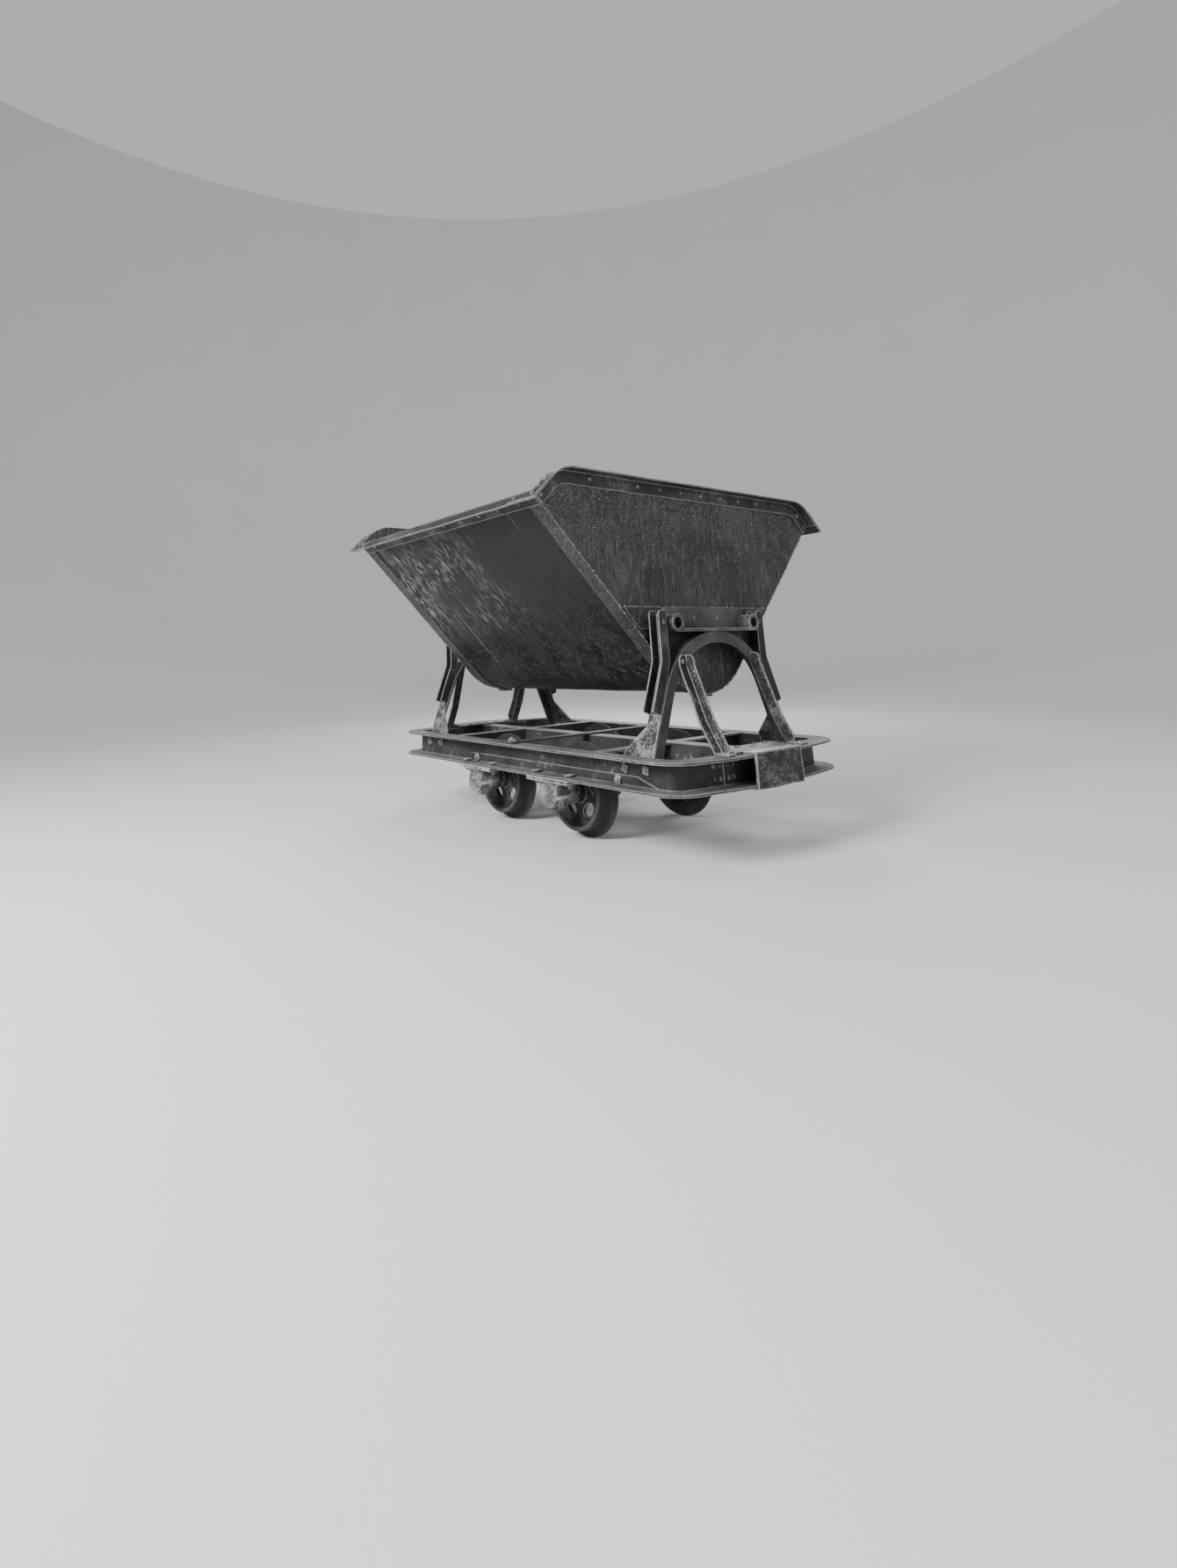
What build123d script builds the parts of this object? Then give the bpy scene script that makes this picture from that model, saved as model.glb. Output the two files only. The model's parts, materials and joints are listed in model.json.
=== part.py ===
from build123d import *
from math import asin, cos, hypot, radians, sin, tan
import os

# A narrow-gauge side-tipping mine cart. Millimetres, +Z up, +X towards the front end, +Y towards
# the left side. Heights below are over the rail tops. save() lifts every piece by the flange
# height, so that the origin lies on the ground plane under the middle of the cart.

os.makedirs("parts", exist_ok=True)

# ---------------------------------------------------------------- wheels and axle boxes
WHEEL_R = 150            # tread radius, so the axle lies this far above the rails
WHEEL_FLANGE = 28        # flange height over the tread
WHEEL_BACK = 270         # from the middle of the cart to the back of a wheel
WHEEL_FLANGE_W = 13
TREAD_W = 62
WHEEL_RIM_T = 22
WHEEL_DISC_T = 14
HUB_R = 44
HUB_OVERHANG = 6         # hub beyond the tread's outer face
WHEEL_HOLES = 5
WHEEL_HOLE = (33, 21)    # half sizes of an oval hole, along and across the rim
WHEELBASE = 490
AXLE_R = 30
AXLE_SEAT_R = 27         # where the wheels are pressed on
JOURNAL_R = 22.5
JOURNAL_CLEAR = 0.06     # radial, journal in its bush
JOURNAL_SHORT = 16       # journal's end inside its box
BUSH_WALL = 7
BOX_BODY_R = 46
BOX_GAP = 12             # between a hub and its axle box
BOX_SET_BACK = 10        # back of a box's cover behind the sill's edge
BOX_COVER_T = 4
BOX_DOME = (38, 14)      # radius and height of the dome on the cover
BOX_FLANGE = (236, 14)   # length along the sill, thickness
BOX_BOLT_PITCH = 196
BOX_SADDLE = (64, 14)    # half width under the flange, depth of its slope
BOX_LIP = (60, 10)       # radius and thickness of the cast lip round the front
BOX_LIP_OUT = 18         # how far the lip stands in front of the cover's back
BOX_LIP_DROP = 8         # lip under the axle
BOX_CUP_R = 41           # oil cup underneath
BOX_CUP_DROP = 22        # its centre under the axle

# ---------------------------------------------------------------- underframe
FRAME_LENGTH = 1880
FRAME_WIDTH = 958
BOW_R = 1850             # plan radius of the bowed ends
CORNER_R = 118
SILL_TOP = 318
SILL_H = 106
SILL_FLANGE = 75
SILL_FLANGE_T = 9
SILL_WEB = 8
BOW_HALF = 205           # half width of the bow piece between the two sills
SPLICE_T = 8
SPLICE_LENGTH = 150
DRAWBAR_W = 64
DRAWBAR_T = 8
CROSS_X = 462            # cross members from the middle of the cart
CROSS_W = 48
TIE = (45, 8)            # width and thickness of the flat bar across the sills
STIFFENER = (34, 9)      # height and thickness of the bar along the sill's web
STIFFENER_X = (-350, 770)
NOSE_T = 8
NOSE_COVER = (150, 170)  # inner end before the bow's edge, half width
BUFFER_HALF = 132
BUFFER_LIP = 42
PIN_HOLE_R = 17
PIN_INSET = 104          # coupling pin hole behind the bow's edge

# ---------------------------------------------------------------- stands
STRIP_Z = 738            # rolling face, where skip and stand touch
ARCH_R = 330             # the skip rolls on this radius
LEG_LEAN = 21.5          # legs from the vertical, degrees
ARCH_WEB = 42
ARCH_T = 8
STAND_FACE = 728         # outer face of the arch web
STAND_DEPTH = 62
HORN_TOP = 816
HORN_FOOT = 450
HORN_W = 42
HORN_T = 6
HORN_DEPTH = 50
HORN_SET_BACK = 6        # horn's front face behind the arch's
HORN_WEB_DROP = 16
GUSSET_T = 8
GUSSET_FOOT = 140        # length on the sill
GUSSET_NOSE = 34
BRACE_Y = 190
BRACE_LEG = 42
BRACE_T = 7
BRACE_TOP = 654
BRACE_KNEE = 612
BRACE_BEND = (0.55, 420)  # share of the way out, and height, where the brace straightens
BRACE_FOOT = 58

# ---------------------------------------------------------------- skip
END_FACE = 660           # outer face of an end plate
ROOT_Y = 817             # half width where the side sheet meets the rim
SIDE_SLOPE = 45.5        # side sheets from the horizontal, degrees
BOTTOM_R = 282
BOTTOM_Z = 504
RIM_TOP = 1311
SHEET_T = 5
BAND_T = 4
BAND_W = 64
RIM_BEND_R = 150
RIM_FLAT = 56            # rim angle's leg on the plate
RIM_OUT = 50             # rim angle's standing leg
RIM_T = 6
RIVET_R = 9
RIVET_H = 6
RIVET_PITCH = 123
CORNER_PLATE = (150, 72, 5)   # along the side, up the end, thickness
DOUBLER_T = 8
DOUBLER_TOP = 830
BRACKET_T = 6
BRACKET_FACE = 684
BRACKET_HALF = 233
EYE_Y = 226
EYE_R = 32
STRIP_T = 11
STRIP_FRONT = 740
PACKING = (36, 5, 56)    # width, thickness, height of the hidden packing plate
PACKING_CLEAR = 0.75
BASE_BAR = (56, 46, 10)  # small bar under the skip's bottom at each end

# ---------------------------------------------------------------- clearances and fasteners
EYE_CLEAR = 10           # eye to horn at rest, the skip shifts by this as it rolls
ROLL_CLEAR = 0.4         # rolling strip over the arch
BOLT_R = 8
BOLT_CLEAR = 0.5
HEAD_R = 14
HEAD_H = 9

AXLE_Z = WHEEL_R
WHEEL_FACE = WHEEL_BACK + WHEEL_FLANGE_W + TREAD_W
HALF_LENGTH = FRAME_LENGTH / 2
HALF_WIDTH = FRAME_WIDTH / 2
SILL_BOTTOM = SILL_TOP - SILL_H
WEB_IN = HALF_WIDTH - SILL_FLANGE
WEB_OUT = WEB_IN + SILL_WEB
ARCH_Z = STRIP_Z - ROLL_CLEAR - ARCH_R
CORNERS = [(end, side) for end in (1, -1) for side in (1, -1)]
END_NAMES = {1: "front", -1: "rear"}
SIDE_NAMES = {1: "left", -1: "right"}


def placed(part, end, side=1):
    """The same piece at another corner: mirrored front to rear and left to right."""
    if end < 0:
        part = mirror(part, about=Plane.YZ)
    if side < 0:
        part = mirror(part, about=Plane.XZ)
    return part


def save(name, part):
    """Lift one finished piece from the rails' frame to the ground's, label it and write it."""
    part = Pos(0, 0, WHEEL_FLANGE) * part
    part.label = name
    export_step(part, f"parts/{name}.step")


def mitred(points, distance):
    """The polyline moved sideways by a distance, with mitred corners."""
    moved = []
    for index, (a, b) in enumerate(points):
        normals = []
        for first, second in ((index - 1, index), (index, index + 1)):
            if first >= 0 and second < len(points):
                da, db = points[second][0] - points[first][0], points[second][1] - points[first][1]
                normals.append((-db / hypot(da, db), da / hypot(da, db)))
        na, nb = normals[0][0] + normals[-1][0], normals[0][1] + normals[-1][1]
        scale = 2 * distance / (na * na + nb * nb)
        moved.append((a + na * scale, b + nb * scale))
    return moved


def strip_outline(points, thickness):
    """Closed outline of a bar of one thickness that follows a polyline."""
    return points + mitred(points, thickness)[::-1]


def head(radius, height):
    """A round fastener head standing on the plane z = 0."""
    ball = (radius * radius + height * height) / (2 * height)
    with BuildPart() as dome:
        with Locations((0, 0, height - ball)):
            Sphere(ball)
        with Locations((0, 0, height / 2)):
            Box(4 * radius, 4 * radius, height, mode=Mode.INTERSECT)
    return dome.part


def nut(radius, height):
    """A square nut standing on the plane z = 0."""
    with BuildPart() as block:
        Box(2 * radius, 2 * radius, height, align=(Align.CENTER, Align.CENTER, Align.MIN))
        chamfer(block.faces().sort_by(Axis.Z)[-1].edges(), height / 5)
    return block.part


RIVET = head(RIVET_R, RIVET_H)
NUT = nut(HEAD_R, HEAD_H)


def group(shape, planes):
    """Copies of one fastener, each standing on its own plane, as one part of separate solids."""
    return Part() + [plane * shape for plane in planes]


# ================================================================= wheelsets
with BuildPart() as wheel:
    with BuildSketch(Plane.YZ):
        with BuildLine():
            Polyline(
                (WHEEL_BACK, WHEEL_R - WHEEL_RIM_T),
                (WHEEL_BACK, WHEEL_R + WHEEL_FLANGE - WHEEL_FLANGE_W / 2),
                (WHEEL_BACK + WHEEL_FLANGE_W / 3, WHEEL_R + WHEEL_FLANGE),
                (WHEEL_BACK + WHEEL_FLANGE_W * 0.7, WHEEL_R + WHEEL_FLANGE),
                (WHEEL_BACK + WHEEL_FLANGE_W, WHEEL_R + WHEEL_FLANGE_W / 2),
                (WHEEL_BACK + 1.6 * WHEEL_FLANGE_W, WHEEL_R),
                (WHEEL_FACE - 5, WHEEL_R - 3),
                (WHEEL_FACE, WHEEL_R - 8),
                (WHEEL_FACE, WHEEL_R - WHEEL_RIM_T),
                close=True,
            )
        make_face()
        with Locations(((WHEEL_BACK + WHEEL_FACE) / 2, (HUB_R + WHEEL_R - WHEEL_RIM_T) / 2)):
            Rectangle(WHEEL_DISC_T, WHEEL_R - WHEEL_RIM_T - HUB_R + 4)
        with Locations(((WHEEL_BACK + WHEEL_FACE + HUB_OVERHANG) / 2, (HUB_R + AXLE_SEAT_R) / 2)):
            Rectangle(WHEEL_FACE - WHEEL_BACK + HUB_OVERHANG, HUB_R - AXLE_SEAT_R)
    revolve(axis=Axis.Y)
    with BuildSketch(Plane.XZ.offset(-WHEEL_FACE)):
        hole_r = (HUB_R + WHEEL_R - WHEEL_RIM_T) / 2
        for index in range(WHEEL_HOLES):
            with PolarLocations(hole_r, 1, start_angle=360 / WHEEL_HOLES * (index + 0.5) - 90):
                Ellipse(WHEEL_HOLE[1], WHEEL_HOLE[0])
    extrude(amount=WHEEL_FACE - WHEEL_BACK, mode=Mode.SUBTRACT)
    disc_edges = wheel.edges().filter_by(GeomType.CIRCLE).filter_by(
        lambda edge: abs(edge.radius - HUB_R) < 0.1 and WHEEL_BACK + 5 < edge.center().Y < WHEEL_FACE - 5)
    fillet(disc_edges, 6)

BOX_START = WHEEL_FACE + HUB_OVERHANG + BOX_GAP
BOX_END = HALF_WIDTH - BOX_SET_BACK
JOURNAL_END = BOX_END - JOURNAL_SHORT
with BuildPart() as axle:
    with BuildSketch(Plane.YZ):
        with BuildLine():
            Polyline(
                (-JOURNAL_END, 0),
                (-JOURNAL_END, JOURNAL_R),
                (-WHEEL_FACE - HUB_OVERHANG, JOURNAL_R),
                (-WHEEL_FACE - HUB_OVERHANG, AXLE_SEAT_R),
                (-WHEEL_BACK, AXLE_SEAT_R),
                (-WHEEL_BACK, AXLE_R),
                (WHEEL_BACK, AXLE_R),
                (WHEEL_BACK, AXLE_SEAT_R),
                (WHEEL_FACE + HUB_OVERHANG, AXLE_SEAT_R),
                (WHEEL_FACE + HUB_OVERHANG, JOURNAL_R),
                (JOURNAL_END, JOURNAL_R),
                (JOURNAL_END, 0),
                close=True,
            )
        make_face()
    revolve(axis=Axis.Y)

for end in (1, -1):
    place = Location((end * WHEELBASE / 2, 0, AXLE_Z))
    save(f"{END_NAMES[end]}_axle", place * axle.part)
    for side in (1, -1):
        save(f"{END_NAMES[end]}_{SIDE_NAMES[side]}_wheel", place * placed(wheel.part, 1, side))

# ================================================================= axle boxes
BUSH_R = JOURNAL_R + JOURNAL_CLEAR + BUSH_WALL
BOX_Y = (BOX_START + BOX_END) / 2
BOX_LENGTH = BOX_END - BOX_START
FLANGE_Y = (WEB_IN + HALF_WIDTH) / 2
FLANGE_Z = SILL_BOTTOM - BOX_FLANGE[1]
BOLT_X = [WHEELBASE / 2 + step * BOX_BOLT_PITCH for step in (-0.5, 0.5)]

with BuildPart() as box_lip:
    with Locations((WHEELBASE / 2, BOX_END + BOX_LIP_OUT - BOX_LIP[0], AXLE_Z - BOX_LIP_DROP)):
        Cylinder(*BOX_LIP)
    fillet(box_lip.edges(), BOX_LIP[1] / 3)

with BuildPart() as axle_box:
    add(box_lip.part)
    with Locations((WHEELBASE / 2, BOX_END + BOX_LIP[0], AXLE_Z)):
        Box(4 * BOX_LIP[0], 2 * BOX_LIP[0], 4 * BOX_LIP[0], mode=Mode.SUBTRACT)
    with Locations((WHEELBASE / 2, BOX_Y, AXLE_Z)):
        Cylinder(BOX_BODY_R, BOX_LENGTH, rotation=(90, 0, 0))
    with Locations((WHEELBASE / 2, BOX_END - BOX_CUP_R - 1, AXLE_Z - BOX_CUP_DROP)):
        Sphere(BOX_CUP_R)
    with Locations((WHEELBASE / 2, FLANGE_Y, FLANGE_Z)):
        Box(BOX_FLANGE[0], SILL_FLANGE, BOX_FLANGE[1], align=(Align.CENTER, Align.CENTER, Align.MIN))
    with BuildSketch(Plane.XZ.offset(-BOX_END)):
        with BuildLine():
            Polyline(
                (WHEELBASE / 2 + BOX_SADDLE[0], FLANGE_Z),
                (WHEELBASE / 2 + BOX_BODY_R, FLANGE_Z - BOX_SADDLE[1]),
                (WHEELBASE / 2 + BOX_BODY_R, AXLE_Z),
                (WHEELBASE / 2 - BOX_BODY_R, AXLE_Z),
                (WHEELBASE / 2 - BOX_BODY_R, FLANGE_Z - BOX_SADDLE[1]),
                (WHEELBASE / 2 - BOX_SADDLE[0], FLANGE_Z),
                close=True,
            )
        make_face()
    extrude(amount=SILL_FLANGE - 2 * BOX_SET_BACK)
    with Locations((WHEELBASE / 2, BOX_Y, AXLE_Z)):
        Cylinder(BUSH_R, BOX_LENGTH, rotation=(90, 0, 0), mode=Mode.SUBTRACT)
    with Locations([(x, FLANGE_Y, FLANGE_Z) for x in BOLT_X]):
        Cylinder(BOLT_R + BOLT_CLEAR, 3 * BOX_FLANGE[1], mode=Mode.SUBTRACT)

with BuildPart() as bush:
    with Locations((WHEELBASE / 2, BOX_Y, AXLE_Z)):
        Cylinder(BUSH_R, BOX_LENGTH, rotation=(90, 0, 0))
        Cylinder(BUSH_R - BUSH_WALL, BOX_LENGTH, rotation=(90, 0, 0), mode=Mode.SUBTRACT)

with BuildPart() as box_cap:
    add(box_lip.part)
    with Locations((WHEELBASE / 2, BOX_END - BOX_LIP[0], AXLE_Z)):
        Box(4 * BOX_LIP[0], 2 * BOX_LIP[0], 4 * BOX_LIP[0], mode=Mode.SUBTRACT)
    with Locations((WHEELBASE / 2, BOX_END + BOX_COVER_T / 2, AXLE_Z)):
        Cylinder(BOX_BODY_R, BOX_COVER_T, rotation=(90, 0, 0))
    add(Plane(origin=(WHEELBASE / 2, BOX_END + BOX_COVER_T, AXLE_Z), z_dir=(0, 1, 0)) * head(*BOX_DOME))

with BuildPart() as box_bolt:
    with Locations((WHEELBASE / 2, FLANGE_Y, SILL_BOTTOM + SILL_FLANGE_T)):
        Box(2 * HEAD_R, 2 * HEAD_R, HEAD_H, align=(Align.CENTER, Align.CENTER, Align.MIN))
    with Locations((WHEELBASE / 2, FLANGE_Y, FLANGE_Z)):
        Box(2 * HEAD_R, 2 * HEAD_R, HEAD_H, align=(Align.CENTER, Align.CENTER, Align.MAX))
        Cylinder(BOLT_R, BOX_FLANGE[1] + SILL_FLANGE_T + HEAD_H,
                 align=(Align.CENTER, Align.CENTER, Align.MIN))
        Cylinder(BOLT_R, HEAD_H + 8, align=(Align.CENTER, Align.CENTER, Align.MAX))

for end, side in CORNERS:
    save(f"{END_NAMES[end]}_{SIDE_NAMES[side]}_axle_box", placed(axle_box.part, end, side))
save("axle_bushes", Part() + [placed(bush.part, end, side) for end, side in CORNERS])
save("axle_box_caps", Part() + [placed(box_cap.part, end, side) for end, side in CORNERS])
bolt_pair = [Location((step * BOX_BOLT_PITCH, 0, 0)) * box_bolt.part for step in (-0.5, 0.5)]
save("axle_box_bolts", Part() + [placed(bolt, end, side) for end, side in CORNERS for bolt in bolt_pair])

# ================================================================= underframe
with BuildSketch() as frame_plan:
    Rectangle(FRAME_LENGTH, FRAME_WIDTH)
    for end in (1, -1):
        with Locations((end * (HALF_LENGTH - BOW_R), 0)):
            Circle(BOW_R, mode=Mode.INTERSECT)
    fillet(frame_plan.vertices(), CORNER_R)


def plan_ring(outward, inward):
    """Face between the frame's edge moved outwards and the same edge moved inwards."""
    with BuildSketch() as ring:
        offset(frame_plan.sketch, amount=outward)
        offset(frame_plan.sketch, amount=-inward, mode=Mode.SUBTRACT)
    return ring.sketch


with BuildPart() as channel:
    with BuildSketch(Plane.XY.offset(SILL_BOTTOM)):
        add(plan_ring(0, SILL_FLANGE))
    extrude(amount=SILL_H)
    with BuildSketch(Plane.XY.offset(SILL_BOTTOM + SILL_FLANGE_T)):
        add(plan_ring(1, SILL_FLANGE - SILL_WEB))
    extrude(amount=SILL_H - 2 * SILL_FLANGE_T, mode=Mode.SUBTRACT)
    bolt_spots = [(end * WHEELBASE / 2 + step * BOX_BOLT_PITCH, side * FLANGE_Y, SILL_BOTTOM)
                  for end, side in CORNERS for step in (-0.5, 0.5)]
    with Locations(bolt_spots):
        Cylinder(BOLT_R + BOLT_CLEAR, 3 * SILL_FLANGE_T, mode=Mode.SUBTRACT)

for side in (1, -1):
    with BuildPart() as sill:
        add(channel.part)
        with Locations((0, side * (BOW_HALF + HALF_WIDTH / 2), SILL_TOP)):
            Box(2 * FRAME_LENGTH, HALF_WIDTH, 4 * SILL_H, mode=Mode.INTERSECT)
    save(f"{SIDE_NAMES[side]}_sill", sill.part)

with BuildPart() as bow:
    add(channel.part)
    with Locations((HALF_LENGTH, 0, SILL_TOP)):
        Box(FRAME_LENGTH / 2, 2 * BOW_HALF, 4 * SILL_H, mode=Mode.INTERSECT)

with BuildPart() as splice:
    with BuildSketch(Plane.XY.offset(SILL_BOTTOM + SILL_FLANGE_T)):
        add(plan_ring(-SILL_FLANGE, SILL_FLANGE + SPLICE_T))
        with Locations((HALF_LENGTH, BOW_HALF)):
            Rectangle(FRAME_LENGTH / 2, SPLICE_LENGTH, mode=Mode.INTERSECT)
    extrude(amount=SILL_H - 2 * SILL_FLANGE_T)

with BuildPart() as nose_cover:
    with BuildSketch(Plane.XY.offset(SILL_TOP)):
        add(frame_plan.sketch)
        with Locations((HALF_LENGTH - BUFFER_LIP, 0)):
            Rectangle(2 * (NOSE_COVER[0] - BUFFER_LIP), 2 * NOSE_COVER[1], mode=Mode.INTERSECT)
        add(plan_ring(1, BUFFER_LIP), mode=Mode.SUBTRACT)
    extrude(amount=NOSE_T)
    with Locations((HALF_LENGTH - PIN_INSET, 0, SILL_TOP)):
        Cylinder(PIN_HOLE_R, 4 * NOSE_T, mode=Mode.SUBTRACT)
    fillet(nose_cover.edges().filter_by(Axis.Z).group_by(Axis.X)[0], 26)

with BuildPart() as buffer_plate:
    with BuildSketch(Plane.XY.offset(SILL_BOTTOM - NOSE_T)):
        add(plan_ring(NOSE_T, BUFFER_LIP))
        with Locations((HALF_LENGTH, 0)):
            Rectangle(FRAME_LENGTH / 2, 2 * BUFFER_HALF, mode=Mode.INTERSECT)
    extrude(amount=SILL_H + 2 * NOSE_T)
    with BuildSketch(Plane.XY.offset(SILL_BOTTOM)):
        add(plan_ring(0, BUFFER_LIP + 1))
    extrude(amount=SILL_H, mode=Mode.SUBTRACT)
    fillet(buffer_plate.edges().group_by(Axis.X)[-1].filter_by(GeomType.CIRCLE), NOSE_T - 2)

for end in (1, -1):
    save(f"{END_NAMES[end]}_bow", placed(bow.part, end))
    lower_cover = Location((0, 0, -SILL_H - NOSE_T)) * nose_cover.part
    save(f"{END_NAMES[end]}_nose_covers", Part() + [placed(nose_cover.part, end), placed(lower_cover, end)])
    save(f"{END_NAMES[end]}_buffer_plate", placed(buffer_plate.part, end))
save("bow_splices", Part() + [placed(splice.part, end, side) for end, side in CORNERS])

DRAWBAR_END = HALF_LENGTH - PIN_INSET - 2 * PIN_HOLE_R
with BuildPart() as drawbar:
    with Locations((0, 0, SILL_BOTTOM + SILL_H / 2)):
        Box(2 * DRAWBAR_END, DRAWBAR_W, SILL_H)
    with Locations((0, DRAWBAR_T, SILL_BOTTOM + SILL_H / 2)):
        Box(2 * DRAWBAR_END + 1, DRAWBAR_W, SILL_H - 2 * DRAWBAR_T, mode=Mode.SUBTRACT)
save("centre_drawbar", drawbar.part)

with BuildPart() as cross_member:
    half_span = WEB_IN - DRAWBAR_W / 2
    cross_y = (WEB_IN + DRAWBAR_W / 2) / 2
    with Locations([(CROSS_X, side * cross_y, SILL_BOTTOM + SILL_H / 2) for side in (1, -1)]):
        Box(CROSS_W, half_span, SILL_H)
    with Locations((CROSS_X + SILL_WEB, 0, SILL_BOTTOM + SILL_H / 2)):
        Box(CROSS_W, FRAME_WIDTH, SILL_H - 2 * SILL_WEB, mode=Mode.SUBTRACT)
for end in (1, -1):
    save(f"{END_NAMES[end]}_cross_member", placed(cross_member.part, end))

TIE_Y = (WEB_OUT + HALF_WIDTH) / 2 + 4
with BuildPart() as tie_bar:
    with BuildSketch(Plane.XY.offset(SILL_TOP)):
        SlotCenterToCenter(2 * TIE_Y, TIE[0], rotation=90)
    extrude(amount=TIE[1])
save("middle_tie_bar", tie_bar.part)

with BuildPart() as stiffener:
    low, high = STIFFENER_X
    bar_z = SILL_BOTTOM + SILL_FLANGE_T
    with BuildSketch(Plane.XZ.offset(-WEB_OUT)):
        with BuildLine():
            Polyline((low, bar_z), (high, bar_z), (high - 3 * STIFFENER[0], bar_z + STIFFENER[0]),
                     (low, bar_z + STIFFENER[0]), close=True)
        make_face()
    extrude(amount=-STIFFENER[1])
save("sill_stiffeners", Part() + [placed(stiffener.part, 1, side) for side in (1, -1)])

# ================================================================= stands
lean = radians(LEG_LEAN)
TANGENT_Y = ARCH_R * cos(lean)
TANGENT_Z = ARCH_Z + ARCH_R * sin(lean)


def leg_y(z):
    """Outer face of a leg at a height."""
    return TANGENT_Y + (TANGENT_Z - z) * tan(lean)


GUSSET_BEND = TANGENT_Z - (WEB_IN - GUSSET_T - TANGENT_Y) / tan(lean)


def arch_face(inset):
    """Closed outline of the arch and its legs, moved inwards by a distance."""
    radius = ARCH_R - inset
    side_shift = inset / cos(lean)
    with BuildSketch() as face:
        with BuildLine():
            foot = leg_y(GUSSET_BEND) - side_shift
            tangent = (radius * cos(lean), ARCH_Z + radius * sin(lean))
            Line((-foot, GUSSET_BEND), (-tangent[0], tangent[1]))
            ThreePointArc((-tangent[0], tangent[1]), (0, ARCH_Z + radius), tangent)
            Line(tangent, (foot, GUSSET_BEND))
            Line((foot, GUSSET_BEND), (-foot, GUSSET_BEND))
        make_face()
    return face.sketch


with BuildPart() as arch:
    with BuildSketch(Plane.YZ.offset(STAND_FACE)):
        add(arch_face(0))
        add(arch_face(ARCH_WEB), mode=Mode.SUBTRACT)
    extrude(amount=-ARCH_T)
    with BuildSketch(Plane.YZ.offset(STAND_FACE)):
        add(arch_face(0))
        add(arch_face(ARCH_T), mode=Mode.SUBTRACT)
    extrude(amount=-STAND_DEPTH)

HORN_IN = EYE_Y + EYE_R + EYE_CLEAR
HORN_BEND = TANGENT_Z + (TANGENT_Y - HORN_IN) / tan(lean)
HORN_FACE = STAND_FACE - HORN_SET_BACK
horn_path = [(leg_y(HORN_FOOT), HORN_FOOT), (HORN_IN, HORN_BEND), (HORN_IN, HORN_TOP)]
web_path = horn_path[:-1] + [(HORN_IN, HORN_TOP - HORN_WEB_DROP)]
with BuildPart() as horn:
    for front in (HORN_FACE, HORN_FACE - HORN_DEPTH + HORN_T):
        with BuildSketch(Plane.YZ.offset(front)) as horn_flange:
            with BuildLine():
                Polyline(*strip_outline(horn_path, -HORN_W), close=True)
            make_face()
            fillet(horn_flange.vertices().group_by(Axis.Y)[-1], HORN_W / 2 - 5)
        extrude(amount=-HORN_T)
    with BuildSketch(Plane.YZ.offset(HORN_FACE)):
        with BuildLine():
            Polyline(*strip_outline(web_path, -HORN_T), close=True)
        make_face()
    extrude(amount=-HORN_DEPTH)

gusset_path = [(WEB_IN - GUSSET_T, SILL_BOTTOM + SILL_FLANGE_T), (WEB_IN - GUSSET_T, GUSSET_BEND),
               (leg_y(HORN_FOOT), HORN_FOOT)]
with BuildPart() as gusset:
    with BuildSketch(Plane.YZ.offset(STAND_FACE)):
        with BuildLine():
            Polyline(*strip_outline(gusset_path, -GUSSET_T), close=True)
        make_face()
    extrude(amount=-GUSSET_FOOT)
    with BuildSketch(Plane.XZ):
        with BuildLine():
            Polyline(
                (STAND_FACE - GUSSET_FOOT, SILL_TOP + NOSE_T),
                (STAND_FACE - GUSSET_NOSE, HORN_FOOT - GUSSET_NOSE / 3),
                (STAND_FACE - GUSSET_NOSE, 2 * HORN_FOOT),
                (STAND_FACE - 2 * GUSSET_FOOT, 2 * HORN_FOOT),
                (STAND_FACE - 2 * GUSSET_FOOT, SILL_TOP + NOSE_T),
                close=True,
            )
        make_face()
    extrude(amount=FRAME_WIDTH, both=True, mode=Mode.SUBTRACT)

BRACE_END = HALF_LENGTH - SILL_FLANGE - 14
brace_bend_x = STAND_FACE + BRACE_BEND[0] * (BRACE_END - STAND_FACE)
brace_path = [(STAND_FACE, BRACE_TOP), (STAND_FACE, BRACE_KNEE), (brace_bend_x, BRACE_BEND[1]), (BRACE_END, SILL_TOP)]
with BuildPart() as brace:
    with BuildSketch(Plane.XZ.offset(-BRACE_Y)):
        with BuildLine():
            Polyline(*strip_outline(brace_path + [(BRACE_END + BRACE_FOOT, SILL_TOP)], BRACE_T), close=True)
        make_face()
    extrude(amount=-BRACE_LEG)
    fillet(brace.edges().filter_by(Axis.X).group_by(Axis.Z)[-1].sort_by(Axis.Y)[-1], BRACE_LEG / 2.2)
    with BuildSketch(Plane.XZ.offset(-BRACE_Y)) as brace_web:
        with BuildLine():
            Polyline(*strip_outline(brace_path, BRACE_LEG), close=True)
        make_face()
        fillet(brace_web.vertices().group_by(Axis.Y)[-1].sort_by(Axis.X)[-1], BRACE_LEG / 2)
        fillet(brace_web.vertices().sort_by(Axis.X)[-1], BRACE_LEG / 3)
    extrude(amount=-BRACE_T)

for end in (1, -1):
    save(f"{END_NAMES[end]}_arch", placed(arch.part, end))
for end, side in CORNERS:
    save(f"{END_NAMES[end]}_{SIDE_NAMES[side]}_horn", placed(horn.part, end, side))
save("stand_gussets", Part() + [placed(gusset.part, end, side) for end, side in CORNERS])
for end in (1, -1):
    braces = [placed(brace.part, end, side) for side in (1, -1)]
    save(f"{END_NAMES[end]}_stand_braces", Part() + braces)

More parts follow.
